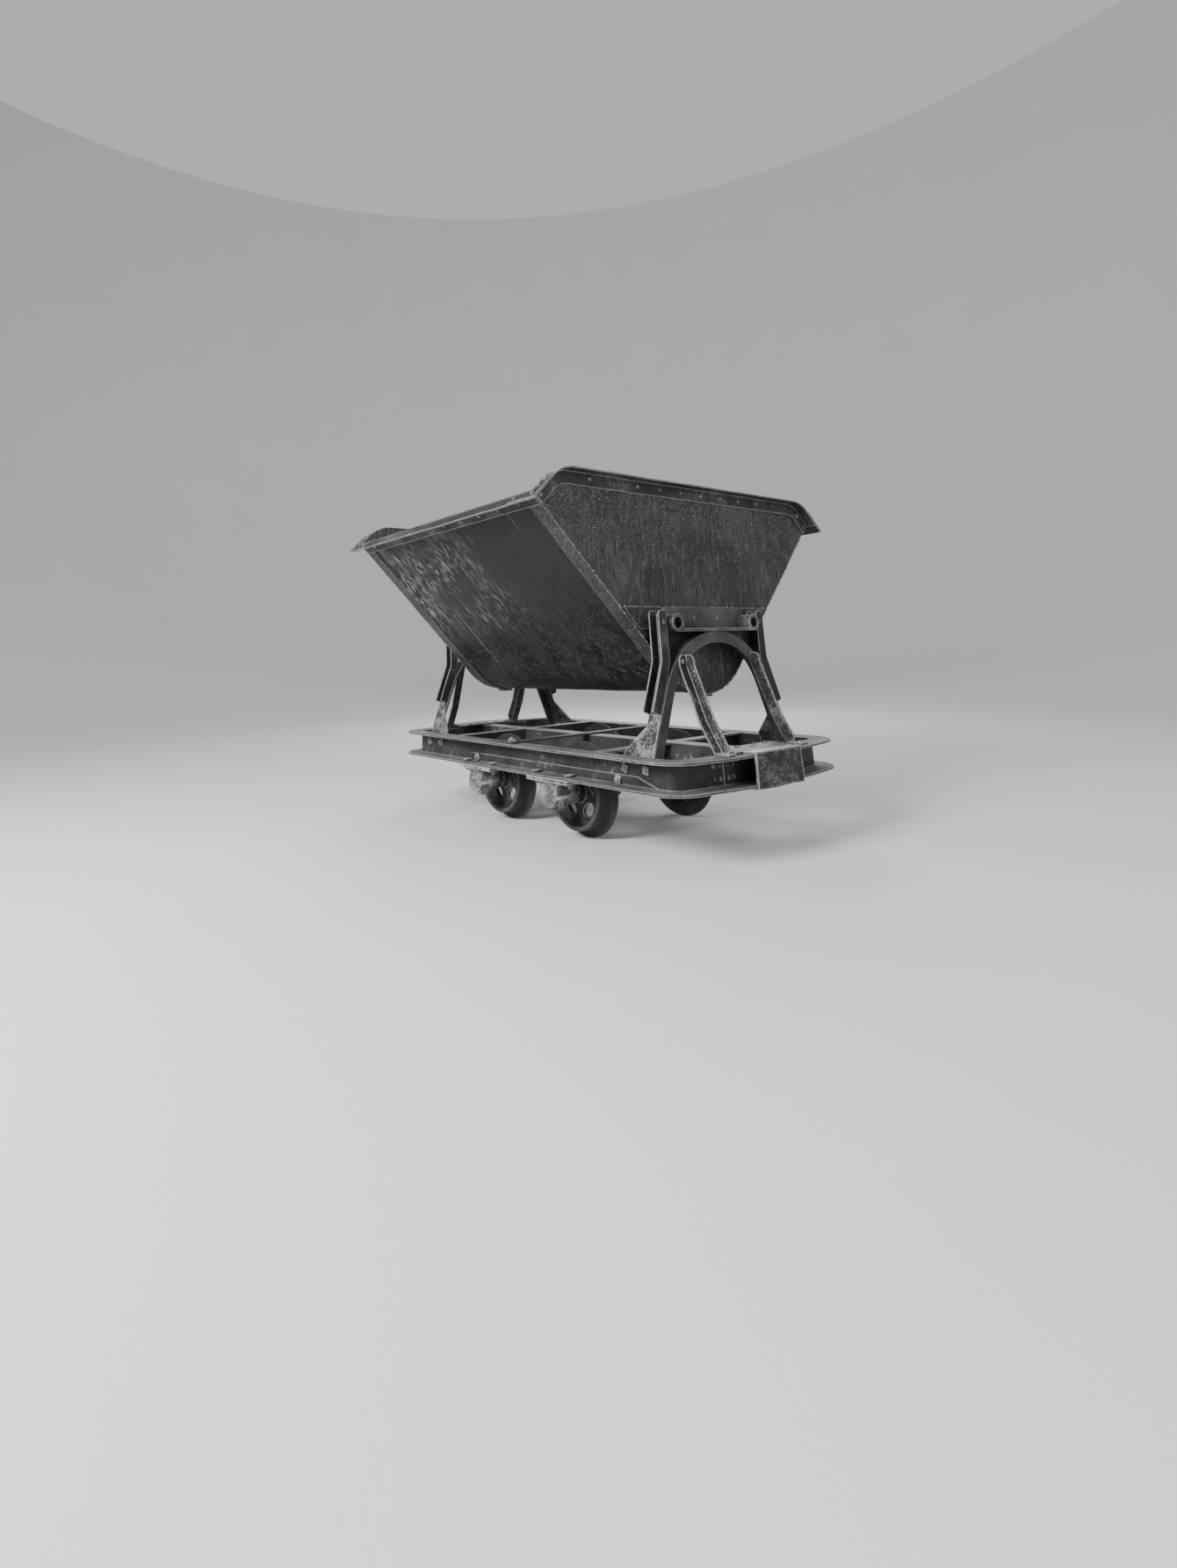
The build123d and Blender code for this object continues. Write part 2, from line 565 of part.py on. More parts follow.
# ================================================================= skip
slope = radians(SIDE_SLOPE)
DOWN = (-cos(slope), -sin(slope))      # down along the left side sheet, in (y, z)
OUT = (sin(slope), -cos(slope))        # square to it, outwards
ROUND_Z = BOTTOM_Z + BOTTOM_R
ROOT_Z = ROUND_Z + (ROOT_Y * sin(slope) - BOTTOM_R) / cos(slope)


def side_point(inset, down=0):
    """A point on the left side sheet: inset from its outer face, down from the root of the rim."""
    return (
        ROOT_Y - inset * OUT[0] + down * DOWN[0],
        ROOT_Z - inset * OUT[1] + down * DOWN[1],
    )


def flipped(point):
    """The same point on the right side."""
    return (-point[0], point[1])


def trough(inset, down=0):
    """The V with its rounded bottom, from one root of the rim to the other, inside BuildLine."""
    radius = BOTTOM_R - inset
    tangent = (radius * OUT[0], ROUND_Z + radius * OUT[1])
    Line(side_point(inset, down), tangent)
    ThreePointArc(tangent, (0, ROUND_Z - radius), flipped(tangent))
    Line(flipped(tangent), flipped(side_point(inset, down)))


def trough_band(outer, inner, down=0):
    """Cross-section of a sheet that follows the V between two insets."""
    with BuildSketch() as band:
        with BuildLine():
            trough(outer, down)
            trough(inner, down)
            Line(side_point(outer, down), side_point(inner, down))
            Line(flipped(side_point(outer, down)), flipped(side_point(inner, down)))
        make_face()
    return band.sketch


def cap_points(inset):
    """Corner points of the raised end's top edge, moved inwards, from left to right."""
    root = (ROOT_Y + inset * DOWN[0], ROOT_Z + inset * DOWN[1])
    top = RIM_TOP - inset
    corner = (root[0] - (top - root[1]) * tan(slope), top)
    return [root, corner, flipped(corner), flipped(root)]


def cap_band(inset):
    """Cross-section of a rim that follows the raised end's top edge."""
    with BuildSketch() as band:
        with BuildLine():
            upper = FilletPolyline(*cap_points(0), radius=RIM_BEND_R)
            lower = FilletPolyline(*cap_points(inset), radius=RIM_BEND_R - inset)
            Line(upper @ 0, lower @ 0)
            Line(upper @ 1, lower @ 1)
        make_face()
    return band.sketch


SHELL_HALF = END_FACE - SHEET_T
with BuildPart() as skip_shell:
    with BuildSketch(Plane.YZ.offset(-SHELL_HALF)):
        add(trough_band(BAND_T, BAND_T + SHEET_T))
    extrude(amount=2 * SHELL_HALF)
save("skip_shell", skip_shell.part)

with BuildPart() as end_plate:
    with BuildSketch(Plane.YZ.offset(SHELL_HALF)):
        with BuildLine():
            trough(0)
            FilletPolyline(*cap_points(0), radius=RIM_BEND_R)
        make_face()
    extrude(amount=SHEET_T)
    with BuildSketch(Plane.YZ.offset(SHELL_HALF)):
        add(trough_band(0, BAND_T, RIM_FLAT))
    extrude(amount=SHEET_T - BAND_W)

with BuildPart() as end_rim:
    with BuildSketch(Plane.YZ.offset(END_FACE)):
        add(cap_band(RIM_FLAT))
    extrude(amount=RIM_T)
    with BuildSketch(Plane.YZ.offset(END_FACE)):
        add(cap_band(RIM_T))
    extrude(amount=RIM_OUT)

RIM_FACE = BAND_T - RIM_T              # inset of the side rim's outer face
with BuildPart() as side_rim:
    with BuildSketch(Plane.YZ.offset(-SHELL_HALF)):
        with BuildLine():
            Polyline(side_point(BAND_T), side_point(BAND_T, RIM_FLAT), side_point(RIM_FACE, RIM_FLAT),
                     side_point(RIM_FACE), close=True)
        make_face()
    extrude(amount=2 * SHELL_HALF)
    with BuildSketch(Plane.YZ.offset(-END_FACE - RIM_OUT)):
        with BuildLine():
            Polyline(side_point(0), side_point(0, RIM_T), side_point(BAND_T - RIM_OUT, RIM_T),
                     side_point(BAND_T - RIM_OUT), close=True)
        make_face()
    extrude(amount=2 * (END_FACE + RIM_OUT))

rim_plane = Plane(origin=(0, ROOT_Y, ROOT_Z), x_dir=(1, 0, 0), z_dir=(0, cos(slope), sin(slope)))
corner_along, corner_up, corner_t = CORNER_PLATE
rim_end = END_FACE + RIM_OUT
with BuildPart() as corner_plate:
    with BuildSketch(rim_plane):
        with BuildLine():
            Polyline(
                (rim_end, RIM_OUT - BAND_T),
                (rim_end - corner_along, RIM_OUT - BAND_T),
                (rim_end - corner_along, RIM_T),
                (END_FACE + RIM_T, RIM_T),
                (END_FACE + RIM_T, -corner_up),
                (rim_end, -corner_up),
                close=True,
            )
        make_face()
    extrude(amount=corner_t)

for end in (1, -1):
    save(f"{END_NAMES[end]}_end_plate", placed(end_plate.part, end))
    save(f"{END_NAMES[end]}_rim", placed(end_rim.part, end))
for side in (1, -1):
    save(f"{SIDE_NAMES[side]}_rim", placed(side_rim.part, 1, side))
save("rim_corner_plates", Part() + [placed(corner_plate.part, end, side) for end, side in CORNERS])

# ---------------------------------------------------------------- tipping gear on the skip
DOUBLER_HALF = side_point(0)[0] - (ROOT_Z - DOUBLER_TOP) / tan(slope) - 10
DOUBLER_LOW = STRIP_Z + STRIP_T
with BuildPart() as doubler:
    low_half = DOUBLER_HALF - (DOUBLER_TOP - DOUBLER_LOW) / tan(slope)
    with BuildSketch(Plane.YZ.offset(END_FACE)):
        with BuildLine():
            Polyline((-DOUBLER_HALF, DOUBLER_TOP), (DOUBLER_HALF, DOUBLER_TOP), (low_half, DOUBLER_LOW),
                     (-low_half, DOUBLER_LOW), close=True)
        make_face()
    extrude(amount=DOUBLER_T)

POCKET = END_FACE + DOUBLER_T
with BuildPart() as bracket:
    with Locations((POCKET, 0, STRIP_Z)):
        Box(BRACKET_FACE - POCKET, 2 * BRACKET_HALF, DOUBLER_TOP - STRIP_Z - 4,
            align=(Align.MIN, Align.CENTER, Align.MIN))
    fillet(bracket.edges().filter_by(Axis.Y).group_by(Axis.Z)[-1].sort_by(Axis.X)[-1], BRACKET_T)
    with Locations((POCKET - 1, 0, STRIP_Z + STRIP_T)):
        Box(BRACKET_FACE - POCKET + 1 - BRACKET_T, 2 * (BRACKET_HALF - BRACKET_T),
            DOUBLER_TOP - STRIP_Z - 4 - STRIP_T - BRACKET_T,
            align=(Align.MIN, Align.CENTER, Align.MIN), mode=Mode.SUBTRACT)

EYE_Z = STRIP_Z + EYE_R
with BuildPart() as rocker_strip:
    with BuildSketch(Plane.YZ.offset(BRACKET_FACE)):
        with Locations((0, STRIP_Z + STRIP_T / 2)):
            Rectangle(2 * EYE_Y, STRIP_T)
        with Locations((EYE_Y, EYE_Z), (-EYE_Y, EYE_Z)):
            Circle(EYE_R)
        with Locations((EYE_Y, EYE_Z), (-EYE_Y, EYE_Z)):
            Circle(EYE_R - STRIP_T, mode=Mode.SUBTRACT)
    extrude(amount=STRIP_FRONT - BRACKET_FACE)

packing_w, packing_t, packing_h = PACKING
with BuildPart() as packing:
    with Locations((POCKET + PACKING_CLEAR, 0, STRIP_Z + STRIP_T + 2 * PACKING_CLEAR)):
        Box(packing_t, packing_w, packing_h, align=(Align.MIN, Align.CENTER, Align.MIN))

base_w, base_d, base_t = BASE_BAR
with BuildPart() as base_bar:
    with Locations((END_FACE - base_d, 0, BOTTOM_Z)):
        Box(base_d, base_w, base_t, align=(Align.MIN, Align.CENTER, Align.MAX))

for end in (1, -1):
    save(f"{END_NAMES[end]}_doubler", placed(doubler.part, end))
    save(f"{END_NAMES[end]}_rocker_bracket", placed(bracket.part, end))
    save(f"{END_NAMES[end]}_rocker_strip", placed(rocker_strip.part, end))
save("packing_plates", Part() + [placed(packing.part, end) for end in (1, -1)])
save("skip_base_bars", Part() + [placed(base_bar.part, end) for end in (1, -1)])

# ================================================================= rivets and bolts
def turned(point, z_dir):
    """Plane for a fastener head that stands on a point of the front left quarter."""
    return Plane(origin=point, z_dir=z_dir)


end_rivets = []
top_rows = int((cap_points(0)[1][0] - RIM_BEND_R * 0.3) / RIVET_PITCH)
for row in range(top_rows):
    end_rivets.append((END_FACE + RIM_T, (row + 0.5) * RIVET_PITCH, RIM_TOP - RIM_FLAT / 2))
along = hypot(cap_points(0)[1][0] - ROOT_Y, cap_points(0)[1][1] - ROOT_Z)
for share in (0.12, 0.62):
    y, z = side_point(0, RIM_FLAT / 2)
    end_rivets.append((END_FACE + RIM_T, y - share * along * sin(slope), z + share * along * cos(slope)))
rim_rivets = []
for point in end_rivets:
    rim_rivets += [placed(turned(point, (1, 0, 0)) * RIVET, end, side) for end, side in CORNERS]

side_rows = int((SHELL_HALF - 0.4 * RIVET_PITCH) / RIVET_PITCH + 0.5)
for row in range(side_rows):
    y, z = side_point(RIM_FACE, 0.55 * RIM_FLAT)
    spot = turned(((row + 0.5) * RIVET_PITCH, y, z), (0, *OUT))
    rim_rivets += [placed(spot * RIVET, end, side) for end, side in CORNERS]
save("rim_rivets", Part() + rim_rivets)

corner_spots = [(rim_end - 22, -0.75 * corner_up), (rim_end - 22, -0.2 * corner_up),
                (rim_end - 24, 26), (rim_end - 0.82 * corner_along, 26)]
corner_rivets = [rim_plane.offset(corner_t) * Pos(x, y, 0) * RIVET for x, y in corner_spots]
save("corner_rivets", Part() + [placed(rivet, end, side) for rivet in corner_rivets for end, side in CORNERS])

bracket_spots = [(BRACKET_FACE, y, (STRIP_Z + DOUBLER_TOP) / 2) for y in (-68, 68)]
bracket_rivets = [turned(point, (1, 0, 0)) * RIVET for point in bracket_spots]
save("bracket_rivets", Part() + [placed(rivet, end) for rivet in bracket_rivets for end in (1, -1)])

web_bolts = [((STAND_FACE - share * GUSSET_FOOT, WEB_OUT, SILL_BOTTOM + 0.62 * SILL_H), (0, 1, 0))
             for share in (0.85, 0.15)]
low_bolts = [((x, WEB_OUT + STIFFENER[1], SILL_BOTTOM + SILL_FLANGE_T + STIFFENER[0] / 2), (0, 1, 0))
             for x in (STIFFENER_X[1] - 190, -STIFFENER_X[0] - 60)]
leg_out = (0, cos(lean), sin(lean))
gusset_bolts = [((STAND_FACE - 18, leg_y(z) + GUSSET_T * cos(lean), z + GUSSET_T * sin(lean)), leg_out)
                for z in (HORN_FOOT - 28, SILL_TOP + 26)]
stand_bolts = [placed(turned(*spot) * NUT, end, side) for spot in web_bolts for end, side in CORNERS]
stand_bolts += [placed(turned(*spot) * RIVET, end, side) for spot in gusset_bolts for end, side in CORNERS]
brace_spots = [((STAND_FACE + BRACE_T, BRACE_Y + 0.6 * BRACE_LEG, BRACE_TOP - 24), (1, 0, 0)),
               ((BRACE_END + 0.7 * BRACE_FOOT, BRACE_Y + BRACE_LEG / 2, SILL_TOP + BRACE_T), (0, 0, 1)),
               ((HORN_FACE, HORN_IN + 0.4 * HORN_W, HORN_TOP - 44), (1, 0, 0))]
stand_bolts += [placed(turned(*spot) * RIVET, end, side) for spot in brace_spots for end, side in CORNERS]
save("stand_bolts", Part() + stand_bolts)

sill_bolts = [placed(turned(*spot) * NUT, 1, side) for spot in low_bolts[:1] for side in (1, -1)]
sill_bolts += [placed(turned(*spot) * NUT, -1, side) for spot in low_bolts[1:] for side in (1, -1)]
sill_bolts += [turned((0, side * TIE_Y, SILL_TOP + TIE[1]), (0, 0, 1)) * NUT for side in (1, -1)]
save("sill_bolts", Part() + sill_bolts)

joint_rivets = []
for y in (BOW_HALF - 45, BOW_HALF - 18, BOW_HALF + 18, BOW_HALF + 45):
    for z in (SILL_BOTTOM + 0.3 * SILL_H, SILL_BOTTOM + 0.7 * SILL_H):
        edge = BOW_R - SILL_FLANGE + SILL_WEB
        tilt = asin(y / edge)
        point = (HALF_LENGTH - BOW_R + edge * cos(tilt), y, z)
        joint_rivets.append(turned(point, (cos(tilt), sin(tilt), 0)) * RIVET)
for y in (50, 115):
    joint_rivets.append(turned((HALF_LENGTH - NOSE_COVER[0] + 16, y, SILL_TOP + NOSE_T), (0, 0, 1)) * RIVET)
save("frame_rivets", Part() + [placed(rivet, end, side) for rivet in joint_rivets for end, side in CORNERS])
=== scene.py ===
# %% [markdown]
# # A side-tipping mine cart
# This lesson dresses a small narrow-gauge tipping cart: a V-shaped steel skip that rolls on two arched
# stands, over a riveted underframe with two wheelsets. The engineering model is the fixed frame. It
# says where every piece is and which body it moves with, and the lesson adds what a drawing leaves
# out: dents, wavy edges, weld beads, rounded corners, rust and wear. The first cell loads the frame
# and hangs each node under its body. Nothing that is added may make the cart bigger.

# %% Load the frame
import json
from math import cos, hypot, pi, radians, sin
import bmesh
import bpy
from mathutils import Matrix, Vector, noise

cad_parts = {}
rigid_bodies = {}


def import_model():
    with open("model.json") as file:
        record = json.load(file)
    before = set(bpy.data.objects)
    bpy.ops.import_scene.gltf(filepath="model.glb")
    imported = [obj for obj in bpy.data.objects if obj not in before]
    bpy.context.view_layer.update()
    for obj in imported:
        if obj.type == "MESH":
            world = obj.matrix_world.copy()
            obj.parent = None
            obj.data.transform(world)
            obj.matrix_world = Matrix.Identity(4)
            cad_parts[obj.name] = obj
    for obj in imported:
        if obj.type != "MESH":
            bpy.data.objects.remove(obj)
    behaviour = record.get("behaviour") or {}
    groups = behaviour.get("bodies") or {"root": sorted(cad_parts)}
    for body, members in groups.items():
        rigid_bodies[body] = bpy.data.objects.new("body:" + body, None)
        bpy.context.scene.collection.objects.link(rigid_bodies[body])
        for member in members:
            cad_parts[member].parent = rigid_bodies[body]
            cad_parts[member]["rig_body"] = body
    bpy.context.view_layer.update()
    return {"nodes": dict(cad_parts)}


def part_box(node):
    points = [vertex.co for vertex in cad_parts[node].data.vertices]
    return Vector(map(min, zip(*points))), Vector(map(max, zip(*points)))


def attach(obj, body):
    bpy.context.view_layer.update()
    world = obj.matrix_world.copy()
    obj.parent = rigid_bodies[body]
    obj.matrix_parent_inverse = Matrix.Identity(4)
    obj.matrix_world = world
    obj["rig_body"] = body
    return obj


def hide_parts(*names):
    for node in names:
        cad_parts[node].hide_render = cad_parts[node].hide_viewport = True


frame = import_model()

# %% [markdown]
# ## Camera
# The cart is seen from low down, a little in front of its right-hand corner, with a wide lens, so the
# skip towers over the frame. The camera is set by its place, the direction it looks in and a small
# roll. The shift slides the picture without tilting the camera, which keeps the uprights as they are.

# %% Camera
EYE = Vector((2.556, -2.361, 0.704))
YAW, PITCH, ROLL = radians(143.93), radians(12.36), radians(-1.98)
ahead = Vector((cos(YAW) * cos(PITCH), sin(YAW) * cos(PITCH), sin(PITCH)))
level = Vector((sin(YAW), -cos(YAW), 0))
over = level.cross(ahead)
right = level * cos(ROLL) + over * sin(ROLL)
upward = over * cos(ROLL) - level * sin(ROLL)
lens = bpy.data.cameras.new("camera")
lens.sensor_width = 36
lens.lens = 16.93
lens.shift_x, lens.shift_y = 0.0606, -0.1853
camera = bpy.data.objects.new("camera", lens)
bpy.context.collection.objects.link(camera)
camera.matrix_world = Matrix((
    (right.x, upward.x, -ahead.x, EYE.x),
    (right.y, upward.y, -ahead.y, EYE.y),
    (right.z, upward.z, -ahead.z, EYE.z),
    (0, 0, 0, 1),
))
bpy.context.scene.camera = camera
print("camera looks along", tuple(round(value, 3) for value in ahead))

# %% [markdown]
# ## Light
# Dark steel shows its shape by what it reflects, so the light is broad and soft: a pale sky all round,
# one large strong lamp on the right-hand side of the cart for its long side and the stands' edges, a
# weak one in front and a middling one behind. The pale floor throws light back up under the sheets.

# %% Light
def area_light(name, place, aim, size, power):
    """One square soft lamp, turned towards a point."""
    data = bpy.data.lights.new(name, "AREA")
    data.size, data.energy = size, power
    lamp = bpy.data.objects.new(name, data)
    bpy.context.collection.objects.link(lamp)
    lamp.location = place
    lamp.rotation_mode = "QUATERNION"
    lamp.rotation_quaternion = (Vector(aim) - Vector(place)).to_track_quat("-Z", "Y")
    lamp.visible_camera = False
    return lamp


SKY_TONE, SKY_STRENGTH = (0.86, 0.87, 0.88, 1), 0.62
area_light("key", (0.7, -4.8, 3.0), (0, 0, 0.6), 1.9, 470)
area_light("fill", (5.0, 1.0, 2.4), (0, 0, 0.8), 3.0, 70)
area_light("back", (-3.5, 4.0, 3.5), (0, 0, 0.8), 3.0, 160)
world = bpy.data.worlds.new("pale_sky")
world.use_nodes = True
sky = world.node_tree.nodes["Background"].inputs
sky["Color"].default_value = SKY_TONE
sky["Strength"].default_value = SKY_STRENGTH
bpy.context.scene.world = world

# %% [markdown]
# ## Finishes
# Every finish is a small tree of nodes, made by one short helper class, so that each line of a recipe
# reads as one idea: a noise, a ramp, a mix. All patterns read Object coordinates, in metres, so a scale
# of 40 means a pattern of about 25 mm wherever it lies. Old steel is three things on top of each other:
# a coat with large soft patches, specks and flakes where the coat has gone, and bright metal where
# hands, chains and rails have rubbed it, which is along edges.

# %% The helper for finishes
class Finish:
    """Builds one procedural material, socket by socket."""

    def __init__(self, name):
        self.material = bpy.data.materials.new(name)
        self.material.use_nodes = True
        self.tree = self.material.node_tree
        self.shader = self.tree.nodes["Principled BSDF"]
        self.place = self.node("ShaderNodeTexCoord").outputs["Object"]

    def node(self, kind, sockets=None, **settings):
        made = self.tree.nodes.new(kind)
        for key, value in settings.items():
            setattr(made, key, value)
        for key, value in (sockets or {}).items():
            self.feed(made.inputs[key], value)
        return made

    def feed(self, socket, value):
        if isinstance(value, bpy.types.NodeSocket):
            self.tree.links.new(value, socket)
        else:
            socket.default_value = value

    def math(self, operation, a, b=0.0, clamp=False):
        made = self.node("ShaderNodeMath", {0: a, 1: b}, operation=operation, use_clamp=clamp)
        return made.outputs[0]

    def noise(self, scale, detail=4.0, rough=0.55, place=None, warp=0.0):
        return self.node("ShaderNodeTexNoise", {
            "Vector": place or self.place, "Scale": scale, "Detail": detail,
            "Roughness": rough, "Distortion": warp}).outputs["Fac"]

    def stretch(self, scale, turn=(0, 0, 0), place=None):
        """The coordinates stretched and turned, for streaks."""
        return self.node("ShaderNodeMapping", {
            "Vector": place or self.place, "Scale": scale, "Rotation": turn}).outputs["Vector"]

    def between(self, value, low, high, out_low=0.0, out_high=1.0):
        """Low to high becomes out_low to out_high, held at both ends."""
        return self.node("ShaderNodeMapRange", {
            "Value": value, "From Min": low, "From Max": high,
            "To Min": out_low, "To Max": out_high}).outputs["Result"]

    def mix(self, share, first, second):
        made = self.node("ShaderNodeMix", data_type="RGBA")
        for index, value in ((0, share), (6, first), (7, second)):
            self.feed(made.inputs[index], value)
        return made.outputs[2]

    def edges(self, radius, full=0.14):
        """One on sharp outer and inner edges, nought on flat faces."""
        rounded = self.node("ShaderNodeBevel", {"Radius": radius}, samples=4).outputs["Normal"]
        true = self.node("ShaderNodeNewGeometry").outputs["Normal"]
        dot = self.node("ShaderNodeVectorMath", {0: rounded, 1: true}, operation="DOT_PRODUCT")
        same = dot.outputs["Value"]
        return self.between(self.math("SUBTRACT", 1.0, same), 0.01, full)

    def facing_up(self):
        normal = self.node("ShaderNodeNewGeometry").outputs["Normal"]
        return self.node("ShaderNodeSeparateXYZ", {0: normal}).outputs["Z"]

    def bump(self, height, distance, strength=1.0, under=None):
        sockets = {"Height": height, "Distance": distance, "Strength": strength}
        if under:
            sockets["Normal"] = under
        return self.node("ShaderNodeBump", sockets).outputs["Normal"]

    def finish(self, colour, rough, metal, normal, sheen=0.35):
        for name, value in (("Base Color", colour), ("Roughness", rough), ("Metallic", metal),
                            ("Normal", normal), ("Specular IOR Level", sheen)):
            self.feed(self.shader.inputs[name], value)
        return self.material


def grey(tone, warmth=0.0):
    """A grey of one tone, a little browner with warmth."""
    return (tone * (1 + warmth), tone, tone * (1 - warmth), 1)


print("helper ready")

# %% [markdown]
# ### Frame, stand and cast finishes
# One recipe serves all the plain steel and iron, with other numbers each time: how dark the coat is,
# how much of it has flaked to a lighter crust, how bright its edges and upward faces are. Upward faces
# get a painted highlight in the light metal tone, as if lit from above, standing also for rub and dust.

# %% Weathered steel
def weathered(name, coat, crust, bare, flaked=0.5, patch=7.0, edge=0.004, edge_share=0.8, top=0.0,
              rough=(0.45, 0.85), relief=0.0006, metal=0.35, warmth=0.04, extra=None):
    """Coated steel that has flaked, rusted and worn, with painted light on its upward faces. extra(f,
    colour) may paint one more thing.
    """
    f = Finish(name)
    cloud = f.noise(patch, 5, 0.6)
    fine = f.noise(patch * 9, 6, 0.7)
    grain = f.noise(420, 3, 0.6)
    colour = f.mix(f.between(cloud, 0.38, 0.62), grey(coat * 0.6), grey(coat * 1.5, warmth / 2))
    flakes = f.between(f.math("ADD", f.math("MULTIPLY", cloud, 0.45), f.math("MULTIPLY", fine, 0.55)),
                       0.63 - 0.2 * flaked, 0.66 - 0.2 * flaked)
    crusted = f.mix(f.between(grain, 0.35, 0.65), grey(crust * 0.55, warmth * 2), grey(crust * 1.3, warmth))
    colour = f.mix(flakes, colour, crusted)
    pits = f.between(f.noise(130, 2, 0.5), 0.66, 0.72)
    colour = f.mix(f.math("MULTIPLY", pits, 0.7), colour, grey(coat * 0.3))
    worn = f.math("MULTIPLY", f.edges(edge), f.between(fine, 0.3, 0.55, 0.25, edge_share))
    # top is the share of painted highlight on upward faces, as if lit from above; it also stands for dust
    # and rubbing
    if top:
        upward = f.between(f.facing_up(), 0.75, 0.95)
        top_light_and_dust = f.math("MULTIPLY", upward, f.between(f.math("ADD", fine, cloud), 0.8, 1.1, top * 0.35, top))
        worn = f.math("MAXIMUM", worn, top_light_and_dust)
    metal_tone = f.mix(f.between(grain, 0.3, 0.7), grey(bare * 0.7, warmth), grey(bare * 1.2))
    # worn now holds the edge wear and the painted top highlight
    colour = f.mix(worn, colour, metal_tone)
    if extra:
        colour = extra(f, colour)
    smooth = f.between(f.math("SUBTRACT", fine, f.math("MULTIPLY", worn, 0.25)), 0.2, 0.8, *rough)
    height = f.math("ADD", f.math("MULTIPLY", flakes, 0.8), f.math("MULTIPLY", grain, 0.35))
    normal = f.bump(f.math("SUBTRACT", height, pits), relief)
    return f.finish(colour, smooth, f.between(worn, 0, 1, metal * 0.4, metal + 0.35), normal)


# the ninth value of each finish is top, the share of painted top highlight on upward faces
FINISHES = {
    "rim": weathered("rim_steel", 0.030, 0.11, 0.60, 0.40, 8, 0.006, 1.0, 0.8),
    "frame": weathered("frame_steel", 0.032, 0.15, 0.60, 0.28, 6, 0.006, 1.0, 0.3),
    "bars": weathered("bracing_steel", 0.026, 0.08, 0.40, 0.40, 9, 0.004, 0.8, 0.15),
    "stand": weathered("stand_steel", 0.042, 0.26, 0.75, 0.65, 16, 0.007, 1.0, 0.4),
    "brace": weathered("brace_steel", 0.022, 0.15, 0.75, 0.55, 14, 0.006, 1.0, 0.4),
    "horn": weathered("horn_steel", 0.018, 0.08, 0.80, 0.45, 12, 0.005, 1.0, 0.5),
    "arch": weathered("arch_steel", 0.055, 0.085, 0.30, 0.35, 6, 0.004, 0.8, 0.35, relief=0.0003),
    "worn": weathered("worn_steel", 0.040, 0.14, 0.60, 0.50, 12, 0.005, 1.0, 0.25, rough=(0.35, 0.7)),
    "buffer": weathered("buffer_steel", 0.024, 0.14, 0.70, 0.60, 13, 0.009, 1.0, 0.9, relief=0.001),
    "cast": weathered("cast_box_iron", 0.09, 0.36, 0.80, 0.60, 20, 0.007, 1.0, 0.7, relief=0.0012),
    "bolt": weathered("bolt_steel", 0.10, 0.34, 0.85, 0.5, 30, 0.003, 1.0, 0.8),
    "bare": weathered("axle_steel", 0.05, 0.10, 0.30, 0.4, 10, 0.004, 0.8, 0.2),
    "brass": weathered("bush_brass", 0.16, 0.12, 0.40, 0.3, 20, 0.003, 0.8, 0.2, warmth=0.2),
}
print("finishes:", sorted(FINISHES))

# %% [markdown]
# ### Wheel iron
# A wheel is dark cast iron with a dull web. Its tread and the inside of its flange run on the rail, so
# they are polished. The polish depends only on the distance from the axle, and both axles lie at the
# same distance from the middle of the cart, so one sum serves all four wheels.

# %% Wheel iron
AXLE_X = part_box("front_axle")[0].x / 2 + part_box("front_axle")[1].x / 2
AXLE_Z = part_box("front_axle")[0].z / 2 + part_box("front_axle")[1].z / 2


def polished_tread(f, colour):
    parts = f.node("ShaderNodeSeparateXYZ", {0: f.place})
    from_axle = f.math("SUBTRACT", f.math("ABSOLUTE", parts.outputs["X"]), AXLE_X)
    height = f.math("SUBTRACT", parts.outputs["Z"], AXLE_Z)
    radius = f.math("SQRT", f.math("ADD", f.math("MULTIPLY", from_axle, from_axle),
                                   f.math("MULTIPLY", height, height)))
    tread = f.between(radius, 0.138, 0.146)
    streaks = f.noise(1, 4, 0.6, f.stretch((60, 500, 60)))
    shine = f.mix(f.between(streaks, 0.3, 0.7), grey(0.012), grey(0.035, 0.02))
    return f.mix(f.math("MULTIPLY", tread, 0.8), colour, shine)


FINISHES["wheel"] = weathered("wheel_iron", 0.018, 0.09, 0.70, 0.50, 16, 0.008, 1.0, 0.0,
                              relief=0.0010, extra=polished_tread)
print("axle at", round(AXLE_X, 4), round(AXLE_Z, 4))

# %% [markdown]
# ### Skip sheets
# The long sheets are smooth dark steel on which stone has slid for years, so every mark runs down the
# slope: broad soft streaks, thin scratches and, low down, a fine mottle of rust. High on the rear half the
# slid ripples get a painted highlight on their crests and painted shade between. The coordinates are
# folded at the middle of the cart and turned by the slope, which gives one axis along the cart, one
# down the sheet. The end plates were never slid on. They only weathered, with short upright specks.

# %% Skip finishes
SLOPE = radians(45.5)


def slope_place(f):
    """Coordinates along the cart, down the slope, and through the sheet, the same on both sides."""
    parts = f.node("ShaderNodeSeparateXYZ", {0: f.place})
    width = f.math("ABSOLUTE", parts.outputs["Y"])
    down = f.math("ADD", f.math("MULTIPLY", width, cos(SLOPE)),
                  f.math("MULTIPLY", parts.outputs["Z"], sin(SLOPE)))
    sign = f.node("ShaderNodeMath", {0: parts.outputs["Y"]}, operation="SIGN").outputs[0]
    side = f.math("MULTIPLY", sign, 3.0)
    return f.node("ShaderNodeCombineXYZ", {0: parts.outputs["X"], 1: down, 2: side}).outputs[0], parts


